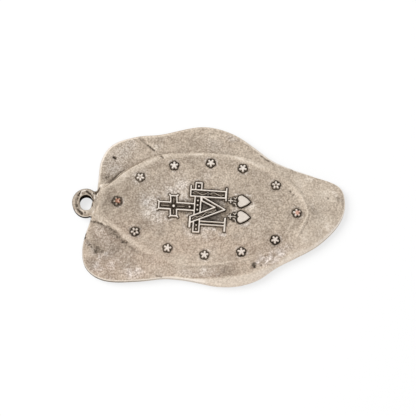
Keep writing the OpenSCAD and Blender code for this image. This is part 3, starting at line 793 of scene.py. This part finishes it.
# %% Drawing of the stars
# columns: x and y from the panel's middle, turn in degrees, copper showing, sunk middle, how dull, and
# the ring's patina
STARS = [
    (0.8, 8.15, 58, 0, 0, 0, 0.84), (6.3, 7.6, 58, 0, 0, 0, 0.8), (12.1, 5, 22, 0, 0.8, 0, 0.68),
    (15.9, 0.4, 30, 0.62, 0, 0, 0.67), (12.5, -4.55, 54, 0, 0, 0, 0.83), (6.95, -7, 24, 0, 0, 0, 0.8),
    (0.8, -7.95, 16, 0, 0, 0, 0.71), (-5.5, -7.2, 10, 0, 0, 0, 0.67), (-11.2, -4.7, 49, 0, 1, 0, 0.62),
    (-14.6, 0.4, 45, 1, 0, 0.45, 0.5), (-11, 4.87, 58, 0, 0.6, 0, 0.56), (-5.4, 7.3, 22, 0, 0, 0, 0.83),
]
PETAL_TIP, PETAL_HALF = 0.75, 0.25
STAR_HUB = 0.36
STAR_RISE = 0.33
RING_REACH, RING_DEPTH = 0.76, 0.07
# how far the finely sampled inlays stand above the plate, in mm
PROUD = 0.003
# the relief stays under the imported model's top
HIGHEST = CAD_BOX[1][2] / MM - PROUD


def to_star(away, angle):
    """Signed distance to a star: a middle disc, and five round-ended petals folded into one."""
    turned = np.mod(angle + np.pi / 5, 2 * np.pi / 5) - np.pi / 5
    along, across = away * np.cos(turned), away * np.sin(turned)
    petal = np.hypot(across, along - np.clip(along, 0.15, PETAL_TIP - PETAL_HALF)) - PETAL_HALF
    return np.minimum(petal, away - STAR_HUB)


print(len(STARS), "stars, none of them over", round(HIGHEST, 2), "mm above the hole's middle")

# %% [markdown]
# Rubbing has bared the petals, patina fills the ring, and crust lies round it. Two stars have lost their
# silver in the middle and show pink copper, and where the most is gone the copper has tarnished brown,
# darker on its lower side, round a painted highlight.

# %% Stars as height and finish


def stars_at(x, y):
    """Height, patina, brightness, crust and copper of the stars: soft steps of the distance to the petals."""
    height, patina, bright, crust, copper = (np.zeros(np.shape(x)) for _ in range(5))
    for star_x, star_y, turn, bare, sunk, dull, deep in STARS:
        u, v = x - PANEL_X - star_x, y - star_y
        away = np.hypot(u, v)
        star = to_star(away, np.arctan2(v, u) - np.radians(turn))
        middle = sunk * bell(away, 0.14 + 0.09 * sunk)
        open_wide = smooth(0.7, 1.0, bare)
        # a painted highlight on the bared copper: less copper colour, tarnish and dullness there
        painted_highlight = open_wide * bell(np.hypot(u - 0.21, 0.6 * (v - 0.02)), 0.18)
        petals = 1 - smooth(-0.15, 0.05, star)
        shine = 0.95 * (1 - smooth(-0.06, 0.03, star)) * (1 - dull * (1 - painted_highlight)) * (1 - 0.9 * middle)
        ring = 1 - smooth(0.04, 0.24, 0.55 * star + 0.45 * (away - RING_REACH - 0.16 * open_wide))
        height += STAR_RISE * petals * (1 - 0.6 * middle) - RING_DEPTH * ring * (1 - petals)
        bright += shine
        pink = bare * (1 - smooth(0.2 + 0.18 * bare, 0.36 + 0.2 * bare, np.hypot(u - 0.12, v)))
        tarnish = (0.31 + 0.24 * smooth(0.3, 0.5, -v)) * open_wide * pink * (1 - painted_highlight)
        dark = (deep - 0.09 + 0.25 * middle) * ring + 0.15 * (1 - smooth(0.2, 0.6, star))
        patina += dark * (1 - shine) * (1 - 0.5 * dull * petals) * (1 - pink) + tarnish
        crust += 0.7 * bell(star - 0.45, 0.18) * smooth(-0.4, 0.5, lattice_noise(x, y, 0.8, 16))
        copper += pink * (1 - 0.62 * painted_highlight)
    return height, patina, bright, crust, copper


def surface(x, y):
    """Height and finish of the shown side: the plate's, and over it the ornament's and the stars'."""
    finish = plate_at(x, y)
    drawn, dark, bright, crust = ornament_at(x, y)
    star_rise, star_dark, star_bright, star_crust, copper = stars_at(x, y)
    relief = np.clip(dark + star_dark + bright + star_bright, 0, 1)
    finish["z"] = np.minimum(finish["z"] + drawn + star_rise, HIGHEST)
    finish["patina"] = np.clip(finish["patina"] * (1 - bright - star_bright) + dark + star_dark, 0, 1)
    finish["polish"] = np.clip(finish["polish"] * (1 - relief) + bright + star_bright, 0, 1)
    finish["crust"] = np.clip(np.maximum(finish["crust"] * (1 - relief), crust + star_crust), 0, 1)
    finish["copper"] = np.clip(finish["copper"] + copper, 0, 1)
    return finish


first_star = surface(np.array([PANEL_X + STARS[0][0]]), np.array([STARS[0][1]]))
print("the first star stands", first_star["z"][0].round(2), "mm above the hole's middle")

# %% [markdown]
# A piece is a closed mesh: rings of points, one inside the next, or a sheet of points with a base.
# numpy works out all the points at once, and the faces follow from the counts of rows and columns.

# %% Meshes
FINISHES = ("patina", "polish", "crust", "copper")


def ring_faces(rings, steps):
    """Quads between neighbouring rings of steps points, closed round each ring."""
    i = np.arange(rings - 1)[:, None] * steps
    j = np.arange(steps)[None, :]
    k = (j + 1) % steps
    return np.stack([i + j, i + steps + j, i + steps + k, i + k], axis=-1).reshape(-1, 4)


def new_piece(name, points, faces, finish):
    """An object from points in mm, faces, and the finish of each point, which the material reads."""
    mesh = bpy.data.meshes.new(name)
    mesh.from_pydata((np.asarray(points) * MM).tolist(), [], faces)
    for key in FINISHES:
        layer = mesh.attributes.new(key, "FLOAT", "POINT")
        layer.data.foreach_set("value", np.ravel(finish[key]).astype(np.float32))
    mesh.polygons.foreach_set("use_smooth", np.ones(len(mesh.polygons), dtype=bool))
    mesh.materials.append(metal)
    mesh.update()
    piece = bpy.data.objects.new(name, mesh)
    scene.collection.objects.link(piece)
    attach(piece, "root")
    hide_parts("medal")
    print(name, "has", len(mesh.polygons), "faces")


# %% [markdown]
# Antique silver plate: a thin layer of silver over copper on cast metal, blackened with a sulphur patina
# and rubbed back. Rubbed silver is a warm grey metal with a broad gleam, because casting sand left it
# finely pitted: a polished sheet would have a roughness of 0.1 to 0.2, and this has 0.45 to 0.55. The
# patina is a dull dark brown that no longer shines like metal. A whitish crust has stayed in some
# hollows, and where the silver has worn through, pink copper shows. Four values on each point say how
# much of each there is. First the patterns: casting sand has grains of 0.1 to 0.2 mm, which is about one
# pixel of the photograph, and so they are drawn as coarse as they need to show, at 0.28 mm.

# %% Patterns in the metal
MATH, RANGE, MIX = "ShaderNodeMath", "ShaderNodeMapRange", "ShaderNodeMix"
# columns: size in mm and detail of clouds, blotches, grain and curls
PATTERNS = ((3.0, 2.0), (0.8, 2.0), (0.28, 3.0), (0.45, 1.0))


def fade(tree, source, low, high, first, second):
    """A colour that goes from first to second as source rises from low to high."""
    share = add(tree, RANGE, {"Value": source, "From Min": low, "From Max": high})
    return add(tree, MIX, {"Factor": share, 6: first, 7: second}, 2, data_type="RGBA")


def weighed(tree, start, shares):
    """The start plus each pattern times its share."""
    for pattern, share in shares:
        start = add(tree, MATH, {0: pattern, 1: share, 2: start}, operation="MULTIPLY_ADD")
    return start


print("the grain is", PATTERNS[2][0], "mm wide, and a pixel", MM_PER_PIXEL, "mm")

# %% [markdown]
# The silver is mottled, and over it lie the crust, the rubbed places and the copper. Then the patina: thin
# patina is brown, or grey where crust lies on it, and it keeps to the hollows of the grain. Thick patina
# is nearly black and swallows the gleam.

# %% Colour of the metal
BARED_COPPER = "#CE7D56"


def silver_colour(tree, patterns, polish, crust, copper):
    """Two tones of silver along the mottle, then crust, rubbed silver and copper, each by its own value."""
    clouds, blotches, grain, curl = patterns
    mottle = weighed(tree, 0.0, ((clouds, 0.25), (blotches, 0.35), (grain, 1.15)))
    silver = fade(tree, mottle, 0.67, 1.09, linear("#A39383"), linear("#DFD0BE"))
    # the crust has dried in thin curls, where a slow noise crosses its middle value
    off_middle = add(tree, MATH, {0: curl, 1: 0.5}, operation="SUBTRACT")
    off_middle = add(tree, MATH, {0: off_middle}, operation="ABSOLUTE")
    curls = add(tree, MATH, {0: off_middle, 1: -9.0, 2: 1.0}, operation="MULTIPLY_ADD", use_clamp=True)
    powder = weighed(tree, grain, ((curls, 0.1), (crust, 0.25)))
    powdery = fade(tree, powder, 0.52, 0.86, linear("#958A80"), linear("#F3ECE5"))
    silver = fade(tree, crust, 0.0, 1.0, silver, powdery)
    rubbed = fade(tree, grain, 0.35, 0.65, linear("#E5D5C1"), linear("#FCF0E0"))
    rubbed = fade(tree, polish, 0.5, 0.95, rubbed, linear("#F6EDE3"))
    silver = fade(tree, polish, 0.0, 1.0, silver, rubbed)
    return fade(tree, copper, 0.0, 1.0, silver, linear(BARED_COPPER))


def patina_stain(tree, patina, grain):
    """Patina, and where it is neither full nor thin, 7.5 patina^2 (1 - patina) (0.5 - grain) more."""
    squared = add(tree, MATH, {0: patina, 1: patina}, operation="MULTIPLY")
    rest = add(tree, MATH, {0: 1.0, 1: patina}, operation="SUBTRACT")
    hollows = add(tree, MATH, {0: 0.5, 1: grain}, operation="SUBTRACT")
    halfway = add(tree, MATH, {0: squared, 1: rest}, operation="MULTIPLY")
    patchy = add(tree, MATH, {0: hollows, 1: halfway}, operation="MULTIPLY")
    return add(tree, MATH, {0: patchy, 1: 7.5, 2: patina}, operation="MULTIPLY_ADD", use_clamp=True)


print("bared copper in linear light:", [round(part, 2) for part in linear(BARED_COPPER)[:3]])

# %% [markdown]
# The shader takes the colour, and what makes it look like metal or not: patina and crust aren't metal, so
# they lower the metallic value, and where the patina value is nearly full, in the blackest patina and in the
# painted shade on the loop's walls, it is black without any gleam. The grain is a bump as well, half as
# strong where the metal is rubbed.

# %% Metal


def antique_silver():
    """Colour, tint, metallic, specular level, roughness and bump from the four values and the patterns."""
    material = bpy.data.materials.new("antique_silver_plate")
    material.use_nodes = True
    tree = material.node_tree
    place = add(tree, "ShaderNodeTexCoord", out="Object")
    patterns = [add(tree, "ShaderNodeTexNoise", {"Vector": place, "Scale": 1 / (size * MM), "Detail": detail})
                for size, detail in PATTERNS]
    patina, polish, crust, copper = (add(tree, "ShaderNodeAttribute", out="Fac", attribute_name=name)
                                     for name in FINISHES)
    grain = patterns[2]
    silver = silver_colour(tree, patterns, polish, crust, copper)
    stain = patina_stain(tree, patina, grain)
    brown = fade(tree, crust, 0.5, 0.9, linear("#73675A"), linear("#7A736D"))
    brown = fade(tree, stain, 0.0, 0.55, silver, brown)

    # black, without gleam, where the patina value is nearly full: the blackest patina, and the painted shade
    # on the loop's walls
    black_patina_and_shade = add(tree, RANGE, {"Value": patina, "From Min": 0.94, "From Max": 1.0})
    dull_stain = add(tree, MATH, {0: stain, 1: 0.35}, operation="MULTIPLY")
    dull_crust = add(tree, MATH, {0: crust, 1: 0.25}, operation="MULTIPLY")
    dull = add(tree, MATH, {0: dull_stain, 1: dull_crust}, operation="MAXIMUM")
    dull = add(tree, MATH, {0: dull, 1: black_patina_and_shade}, operation="MAXIMUM")
    bumps = add(tree, RANGE, {"Value": polish, "To Min": 1.0, "To Max": 0.5})
    sand = add(tree, MATH, {0: grain, 1: bumps}, operation="MULTIPLY")
    shader = tree.nodes["Principled BSDF"]
    for socket, source in {
            "Base Color": fade(tree, stain, 0.45, 1.0, brown, linear("#1B1611")),
            "Specular Tint": fade(tree, stain, 0.0, 1.0, linear("#FFFFFF"), linear("#463728")),
            "Specular IOR Level": add(tree, RANGE, {"Value": black_patina_and_shade, "To Min": 0.5, "To Max": 0.0}),
            "Metallic": add(tree, MATH, {0: 1.0, 1: dull}, operation="SUBTRACT"),
            "Roughness": add(tree, RANGE, {"Value": polish, "To Min": 0.55, "To Max": 0.45}),
            "Normal": add(tree, "ShaderNodeBump", {"Height": sand, "Strength": 1.0, "Distance": 0.05 * MM}),
    }.items():
        tree.links.new(source, shader.inputs[socket])
    return material


metal = antique_silver()
print(metal.name, "has", len(metal.node_tree.nodes), "nodes")

# %% [markdown]
# The relief needs points every 0.04 mm and the lobes don't, so the fine parts are inlays: the same
# surface, sampled closer, in sheets of their own. Inside an inlay the plate is sunk a little out of its
# way, and the inlay's border dips under the plate, so the two pass through each other where both have
# the same height and slope, and no seam shows.

# %% Where the inlays lie
LETTER_X = (11.9, 24.2)
LETTER_MIDDLE = 0.3
HEARTS_X = (23.9, 28.7)
HEARTS_Y = (-2.9, 3.2)
STAR_INLAY = 1.25
LOOP_RADIUS = 2.39
LOOP_OVERLAP = 0.9
INLAY_BASE = 0.2
BORDER = 0.1
DIP = 0.015


def letter_half(x):
    """Half the letter inlay's width at x: narrow round the cross, wide round the letter."""
    return 2.75 + 2.2 * smooth(16.3, 17.2, x)


def inside_ends(value, ends):
    """Distance inside the nearer of two ends, less than 0 outside them."""
    return np.minimum(value - ends[0], ends[1] - value)


def near_swell(degrees):
    """How far the loop swells out on its near side, so many degrees from the middle of the swell."""
    return 0.16 * bell(degrees, 36)


def loop_reach(angle):
    """Reach of the loop's piece from the hole's middle: to its outside, and over the panel on the right."""
    turned = np.degrees(np.arctan2(np.sin(angle), np.cos(angle)))
    over_panel = (1 - smooth(42, 60, turned)) * (1 - smooth(48, 74, -turned))
    return LOOP_RADIUS + LOOP_OVERLAP * over_panel - 0.12 * bell(turned - 64, 12) + near_swell(turned + 97)


def inlay_depth(x, y):
    """How far a point lies inside the nearest inlay's border, in mm; less than 0 outside them all."""
    letter = np.minimum(inside_ends(x, LETTER_X), letter_half(x) - np.abs(y - LETTER_MIDDLE))
    hearts = np.minimum(inside_ends(x, HEARTS_X), inside_ends(y, HEARTS_Y))
    depth = np.max([letter, hearts, loop_reach(np.arctan2(y, x)) - np.hypot(x, y)], axis=0)
    for star_x, star_y, *_ in STARS:
        depth = np.maximum(depth, STAR_INLAY - np.hypot(x - PANEL_X - star_x, y - star_y))
    return depth


def lifted(z, depth):
    """An inlay's height: a hair above the plate, and dipping under it along the border."""
    return z + PROUD - DIP * (1 - smooth(0, BORDER, depth))


print("the letter's inlay is", round(LETTER_X[1] - LETTER_X[0], 1), "mm long")

# %% [markdown]
# The letter and the hearts are sheets: a grid of points on the surface, with a wall from its border down
# to a flat base that stays hidden in the plate. The letter's grid widens where the letter begins, so no
# points are spent on the bare ground beside the cross.

# %% Letter and hearts
LETTER_GRID = (262, 340)
HEARTS_GRID = (190, 150)


def sheet_piece(name, x, y, depth):
    """A closed inlay from a grid of places and each place's distance inside the border."""
    finish = surface(x, y)
    rows, columns = x.shape
    points = np.stack([x, y, lifted(finish["z"], depth)], axis=-1).reshape(-1, 3)
    index = np.arange(rows * columns).reshape(rows, columns)
    faces = np.stack([index[:-1, :-1], index[:-1, 1:], index[1:, 1:], index[1:, :-1]], axis=-1).reshape(-1, 4)
    border = np.concatenate([index[0, :-1], index[:-1, -1], index[-1, :0:-1], index[:0:-1, 0]])
    base = points[border] * [1, 1, 0] + [0, 0, INLAY_BASE]
    low = len(points) + np.arange(len(border))
    walls = np.stack([border, low, np.roll(low, -1), np.roll(border, -1)], axis=-1)
    everything = faces.tolist() + walls.tolist() + [low[::-1].tolist()]
    values = {key: np.concatenate([finish[key].ravel(), finish[key].ravel()[border]]) for key in FINISHES}
    new_piece(name, np.concatenate([points, base]), everything, values)


def letter_inlay():
    """A grid whose rows run along the medal, and whose columns reach as far across as letter_half says."""
    rows, columns = LETTER_GRID
    x = np.linspace(*LETTER_X, columns)[None, :] + np.zeros((rows, 1))
    across = np.linspace(-1, 1, rows)[:, None]
    y = LETTER_MIDDLE + across * letter_half(x)
    depth = np.minimum(inside_ends(x, LETTER_X), letter_half(x) * (1 - np.abs(across)))
    sheet_piece("letter_and_cross", x, y, depth)


def hearts_inlay():
    """A rectangular grid over both hearts."""
    rows, columns = HEARTS_GRID
    x, y = np.meshgrid(np.linspace(*HEARTS_X, columns), np.linspace(*HEARTS_Y, rows))
    sheet_piece("hearts", x, y, np.minimum(inside_ends(x, HEARTS_X), inside_ends(y, HEARTS_Y)))


letter_inlay()
hearts_inlay()

# %% [markdown]
# The stars are round inlays, because rings of points fit a star's ring and petals better than a square
# grid does. All twelve are one piece, as they are one and the same thing on the medal.

# %% Stars
STAR_GRID = (40, 80)


def stars_inlay():
    """Rings of points round each star's middle, out to the inlay's border and down to a base below."""
    rings, steps = STAR_GRID
    away = np.linspace(0.02, STAR_INLAY, rings)[:, None]
    angle = np.linspace(0, 2 * np.pi, steps, endpoint=False)
    points, values, faces = [], {key: [] for key in FINISHES}, []
    for star_x, star_y, *_ in STARS:
        x = PANEL_X + star_x + away * np.cos(angle)
        y = star_y + away * np.sin(angle)
        finish = surface(x, y)
        top = np.stack([x, y, lifted(finish["z"], STAR_INLAY - away)], axis=-1)
        start = sum(map(len, points))
        points.append(np.concatenate([top, top[-1:] * [1, 1, 0] + [0, 0, INLAY_BASE]]).reshape(-1, 3))
        faces += (ring_faces(rings + 1, steps) + start).tolist()
        faces.append((np.arange(steps) + start).tolist())
        faces.append((np.arange(steps)[::-1] + start + rings * steps).tolist())
        for key in FINISHES:
            values[key].append(np.concatenate([finish[key], finish[key][-1:]]).ravel())
    new_piece("stars", np.concatenate(points), faces, {key: np.concatenate(v) for key, v in values.items()})


stars_inlay()

# %% [markdown]
# The plate is rings round the middle of the panel. The first rings follow the panel's oval out to the
# crest of the rim, the next ones spread from the crest to the shoulder of the edge, and the last ones go
# round the edge as a quarter of an oval, down the wall and in under the plate to its middle. The steps
# round a ring are equal along the outline and not in angle, because the lobes reach twice as far out.

# %% Form of the plate's piece
STEPS = 600
EDGE_DROP = 0.45
BACK_ROUND = 0.3
INSET = 0.015
SINK = 0.12


def even_angles(steps):
    """Angles whose points on the outline lie the same distance apart."""
    fine = np.linspace(0, 360, 3601)
    reach = table_at(OUTLINE, fine, 1) - INSET
    x, y = reach * np.cos(np.radians(fine)), reach * np.sin(np.radians(fine))
    along = np.concatenate([[0], np.cumsum(np.hypot(np.diff(x), np.diff(y)))])
    return np.interp(np.arange(steps) / steps * along[-1], along, fine)


def plate_reaches(crest, shoulder):
    """The upper side's rings: in shares of the way to the crest, and then of the way to the shoulder."""
    panel_shares = np.concatenate([np.linspace(0.02, 0.3, 6), np.linspace(0.32, 1.0, 60)])
    lobe_shares = np.linspace(0, 1, 74)[1:]
    return np.array([crest * t for t in panel_shares] + [crest + (shoulder - crest) * t for t in lobe_shares])


def under_rings(shoulder, edge, shoulder_z):
    """Reach and height of the rings below: a quarter oval, the wall, a quarter circle and the flat back."""
    quarter = np.linspace(0, np.pi / 2, 8)[1:]
    rings = [(shoulder + EDGE_ROUND * np.sin(t), shoulder_z - EDGE_DROP * (1 - np.cos(t))) for t in quarter]
    rings += [(edge - BACK_ROUND * (1 - np.cos(t)), LYING_Z + BACK_ROUND * (1 - np.sin(t)) + 0 * edge)
              for t in np.linspace(0, np.pi / 2, 6)]
    rings += [((edge - BACK_ROUND) * t, LYING_Z + 0 * edge) for t in (0.95, 0.8, 0.6, 0.4, 0.2, 0.02)]
    return rings


print(STEPS, "steps round the edge, the widest over", np.diff(even_angles(STEPS)).max().round(2), "degrees")

# %% [markdown]
# The wall has its own finish: down the edge the rubbing and the crust end, but on the near side toward the
# right the wall keeps most of its polish, partly as painted light. The wall's darkening is partly patina and
# partly painted shade, strongest below the near left lobe. On the near side of the right one, where the lip
# is broad, there is none.

# %% Plate


def wall_finish(low, angle, shoulder_z):
    """Finish of the rings below: the surface's own at the shoulder, and the wall's from 0.4 mm below it."""
    finish = plate_at(low[:, :, 0], low[:, :, 1])
    down = smooth(0.15, 0.4, shoulder_z - low[:, :, 2])
    tip = smooth(330, 358, angle)
    # the wall's dark value is part patina, part painted shade; the polish kept on the near wall is partly
    # painted light
    dark = 0.15 * (1 - smooth(265, 285, angle) * (1 - tip)) + 0.42 * bell(angle - 211, 14)
    finish["polish"] *= 1 - down * (1 - 0.8 * smooth(225, 245, angle) * (1 - tip))
    finish["crust"] *= 1 - down
    finish["patina"] = finish["patina"] * (1 - down) + dark * down
    return finish


def plate():
    """Rings from the panel's middle over the upper side, round the edge and under the plate to its middle."""
    angle = even_angles(STEPS)
    edge = table_at(OUTLINE, angle, 1) - INSET
    shoulder = edge - EDGE_ROUND
    reach = plate_reaches(crest_reach(angle), shoulder)
    c, s = np.cos(np.radians(angle)), np.sin(np.radians(angle))
    x, y = PANEL_X + reach * c, reach * s
    finish = plate_at(x, y)
    top = np.stack([x, y, finish["z"] - SINK * smooth(BORDER, 3 * BORDER, inlay_depth(x, y))], axis=-1)
    shoulder_z = top[-1, :, 2]
    low = np.array([np.stack([PANEL_X + out * c, out * s, z], axis=-1)
                    for out, z in under_rings(shoulder, edge, shoulder_z)])
    points = np.concatenate([top, low])
    faces = ring_faces(len(points), STEPS).tolist()
    faces.append(list(range(STEPS)))
    faces.append(list(range(len(points) * STEPS - 1, (len(points) - 1) * STEPS - 1, -1)))
    under = wall_finish(low, angle, shoulder_z)
    values = {key: np.concatenate([finish[key].ravel(), under[key].ravel()]) for key in FINISHES}
    new_piece("medal_plate", points.reshape(-1, 3), faces, values)


plate()

# %% [markdown]
# The loop is cast in one with the plate. Its left half is a ring with a bevel outside and a narrow lip
# round the hole, and a furrow that winds from the lip out to the bevel, where the patina stayed. Its
# right half runs level into the panel. So one grid serves: round the hole, and from the hole's wall over
# the top to the outside. Where it meets the panel it takes the panel's own height and finish.

# %% Top of the loop
HOLE_RADIUS = 1.1
LIP_REACH, LIP_Z = 1.13, 0.84
# a chain has worn the hole's near side, so that side slopes away from a wider and lower lip
WORN_WIDER, WORN_LOWER = 0.47, 1.72
LOOP_TOP = 0.9
BEVEL_FROM, BEVEL_RUN, BEVEL_DROP = 1.85, 0.55, 0.7
LOOP_STEPS, LOOP_ROWS = 320, 72
LOOP_ANGLE = np.linspace(0, 2 * np.pi, LOOP_STEPS, endpoint=False)[None, :]
# as in the plate's tables, and 0, 0 is the hole's middle in both
LOOP_DENTS = [
    (1.27, 0.17, 0.14, -0.08, 1), (1.2, 1.4, 0.13, -0.06, 0.75), (1.1, -0.65, 0.14, -0.08, 0.9),
    (1.12, -0.4, 0.12, -0.04, 0.8), (0.05, -1.95, 0.18, -0.04, 0.5), (-0.32, 1.44, 0.25, -0.05, 0.42),
    (-0.85, -1.65, 0.15, 0.02, -0.7), (-0.35, -1.75, 0.15, 0.02, -0.6),
]
LOOP_FURROWS = [
    (0.15, 0.1, 0.72, [(-1.05, 1.6), (-1.2, 1.3), (-1.32, 0.95)]),
    (0.22, 0.08, 0.45, [(-1.32, 0.95), (-1.45, 0.5), (-1.55, 0.2)]),
    (0.32, 0.1, 0.38, [(-1.55, 0.2), (-1.6, -0.15), (-1.55, -0.7)]),
    (0.3, 0.12, 0.52, [(-1.55, -0.7), (-1.35, -1.2), (-1.08, -1.62)]),
    (0.2, 0.14, 0.72, [(-1.08, -1.62), (-0.75, -1.98), (-0.5, -2.12)]),
    (0.17, 0.12, 0.8, [(0, 1.76), (0.2, 1.62), (0.44, 1.4), (0.66, 1.24)]),
    (0.07, 0.08, 0.95, [(0.78, 1.16), (0.99, 0.84), (1.14, 0.5), (1.22, 0.2)]),
    (0.22, 0.2, 0.62, [(1.45, 1.9), (1.7, 1.8), (1.6, 1.5)]),
    (0.11, -0.06, -1, [(-0.95, 1), (-0.95, 1.4), (-0.72, 1.72), (-0.38, 1.86), (-0.05, 1.92)]),
    (0.07, -0.04, -0.8, [(0.55, 1.1), (0.86, 0.82), (1.04, 0.45)]),
    (0.11, -0.05, -0.95, [(0.95, 1.5), (1.33, 1.1), (1.45, 0.6)]),
    (0.1, 0, -0.8, [(-1.7, -1.55), (-1.25, -2), (-0.6, -2.45), (0.3, -2.48), (1, -2.35)]),
]


def loop_top():
    """Rings from the lip to the outside: ring height less bevel and lip's edge, blended into the panel's."""
    out = loop_reach(LOOP_ANGLE)
    level = np.clip((out - LOOP_RADIUS - near_swell(np.degrees(LOOP_ANGLE) - 263)) / LOOP_OVERLAP, 0, 1)
    worn = smooth(0.1, 0.8, -np.sin(LOOP_ANGLE + np.radians(9)))
    lip_reach = LIP_REACH + WORN_WIDER * worn
    reach = lip_reach + (out - lip_reach) * np.linspace(0, 1, LOOP_ROWS)[:, None]
    x, y = reach * np.cos(LOOP_ANGLE), reach * np.sin(LOOP_ANGLE)
    panel = surface(x, y)
    mark_height, dark, bare = marks_at(*wander(x, y, 0.04, 0.4, 40), LOOP_DENTS, LOOP_FURROWS)
    bevel = BEVEL_DROP * np.clip((reach - BEVEL_FROM) / BEVEL_RUN, 0, 1) ** 1.7
    lip_edge = 0.06 * np.clip((lip_reach + 0.15 - reach) / 0.15, 0, 1) ** 2
    ring_z = LOOP_TOP - bevel - lip_edge + 0.015 * lattice_noise(x, y, 0.6, 7)
    blend = level * smooth(1.4, 2.3, reach)
    z = mark_height * (1 - blend) + ring_z + (lifted(panel["z"], out - reach) - ring_z) * blend
    return SimpleNamespace(points=np.stack([x, y, z], axis=-1), x=x, y=y, out=out, level=level, worn=worn,
                           lip_reach=lip_reach, reach=reach, panel=panel, dark=dark, bare=bare, blend=blend)


print("the hole is", 2 * HOLE_RADIUS, "mm wide, and", len(LOOP_DENTS + LOOP_FURROWS), "marks lie round it")

# %% [markdown]
# The hole's wall rises straight to the lip, and the outside goes down to the table and back in under the
# loop. The hole's far wall is darkened nearly to black, a painted shade, and its worn near side is bare.

# %% Loop
# where the hole's straight wall begins, and how far down the outside is straight
WALL_FOOT, SIDE_FOOT = -0.92, -0.85


def loop_ring(radius, height):
    """One ring of points round the hole. Radius and height may differ from point to point."""
    c, s = np.cos(LOOP_ANGLE), np.sin(LOOP_ANGLE)
    return np.stack([radius * c, radius * s, height + 0 * c], axis=-1)


def loop_sides(at):
    """The rings of the hole's wall, up to the lip, and those of the outside, down to the flat bottom."""
    top_z = at.points[:, :, 2]
    lip_z, wide = LIP_Z - WORN_LOWER * at.worn, at.lip_reach - HOLE_RADIUS
    wall = [loop_ring(HOLE_RADIUS + 0.04, LYING_Z), loop_ring(HOLE_RADIUS, LYING_Z + 0.06)]
    wall += [loop_ring(HOLE_RADIUS, WALL_FOOT + (lip_z - WALL_FOOT) * h) for h in np.linspace(0.02, 1.0, 8)]
    wall += [loop_ring(HOLE_RADIUS + wide * h, lip_z + (top_z[0] - lip_z) * h)
             for h in np.linspace(0.12, 0.9, 7)]
    outer = [loop_ring(at.out, top_z[-1] * (1 - h) + SIDE_FOOT * h) for h in (0.06, 0.2, 0.5, 1.0)]
    bottom = LYING_Z + 0.05 * at.level
    outer += [loop_ring(at.out - 0.05, SIDE_FOOT - 0.1)]
    outer += [loop_ring(at.out - inward, bottom) for inward in (0.15, 0.6)]
    return np.concatenate(wall), np.concatenate(outer)


def loop_finish(at, wall, outer):
    """The finish of wall, top and outside: the loop's own, blended into the panel's, with the marks on it."""
    far = np.sin(LOOP_ANGLE)
    left = smooth(0.1, 0.8, -np.cos(LOOP_ANGLE))
    on_rim = 0.55 * bell(at.reach - 2.02, 0.2) * (1 - at.level)
    near_hole = (0.55 * left + 0.6 * at.worn) * bell(np.maximum(at.reach - at.lip_reach - 0.1, 0), 0.12)
    # the outermost 0.15 mm of the loop's top is darker: a painted shade where the bevel's steep end would
    # show dark
    grey = 0.1 + 0.14 * smooth(-0.2, 0.6, far) + 0.35 * smooth(0.15, 0.0, at.out - at.reach)
    own = {"patina": grey * (1 - near_hole), "polish": np.maximum(on_rim, near_hole),
           "crust": 0.2 * bell(np.hypot(at.x + 0.3, at.y - 1.44), 0.3), "copper": 0 * at.x}
    top = {key: np.clip(own[key] + (at.panel[key] - own[key]) * at.blend, 0, 1) for key in FINISHES}
    top["patina"] = np.maximum(top["patina"] * (1 - at.bare), at.dark)
    top["polish"] = np.maximum(top["polish"], at.bare) * (1 - at.dark)
    # down the outside everything ends but the patina value, which rises to 0.95: painted shade on the loop's
    # outer wall
    down = smooth(0.02, 0.2, at.points[-1, :, 2] - outer[:, :, 2])
    outside = {key: top[key][-1] * (1 - down) for key in FINISHES}
    outside["patina"] = np.maximum(top["patina"][-1], 0.95 * down)
    inside = {key: np.zeros(wall.shape[:2]) for key in FINISHES}
    # painted shade: the hole's wall is dark, nearly black on its far side, and bare where the near side is
    # worn
    on_worn = 0.95 * smooth(0.5, 0.62, np.linspace(0, 1, len(wall))[:, None]) * at.worn
    inside["patina"] = (1 - on_worn) * (0.15 + 0.85 * smooth(-0.1, 0.25, far))
    inside["polish"] += 0.6 * at.worn
    return {key: np.concatenate([part[key].ravel() for part in (inside, top, outside)]) for key in FINISHES}


def loop():
    """Rings of points round the hole: up its wall, over the top, down the outside and back under."""
    at = loop_top()
    wall, outer = loop_sides(at)
    points = np.concatenate([wall, at.points, outer])
    last = (len(points) - 1) * LOOP_STEPS
    j = np.arange(LOOP_STEPS)
    k = (j + 1) % LOOP_STEPS
    closing = np.stack([last + j, j, k, last + k], axis=-1)
    faces = np.concatenate([ring_faces(len(points), LOOP_STEPS), closing])
    new_piece("hanging_loop", points.reshape(-1, 3), faces.tolist(), loop_finish(at, wall, outer))


loop()
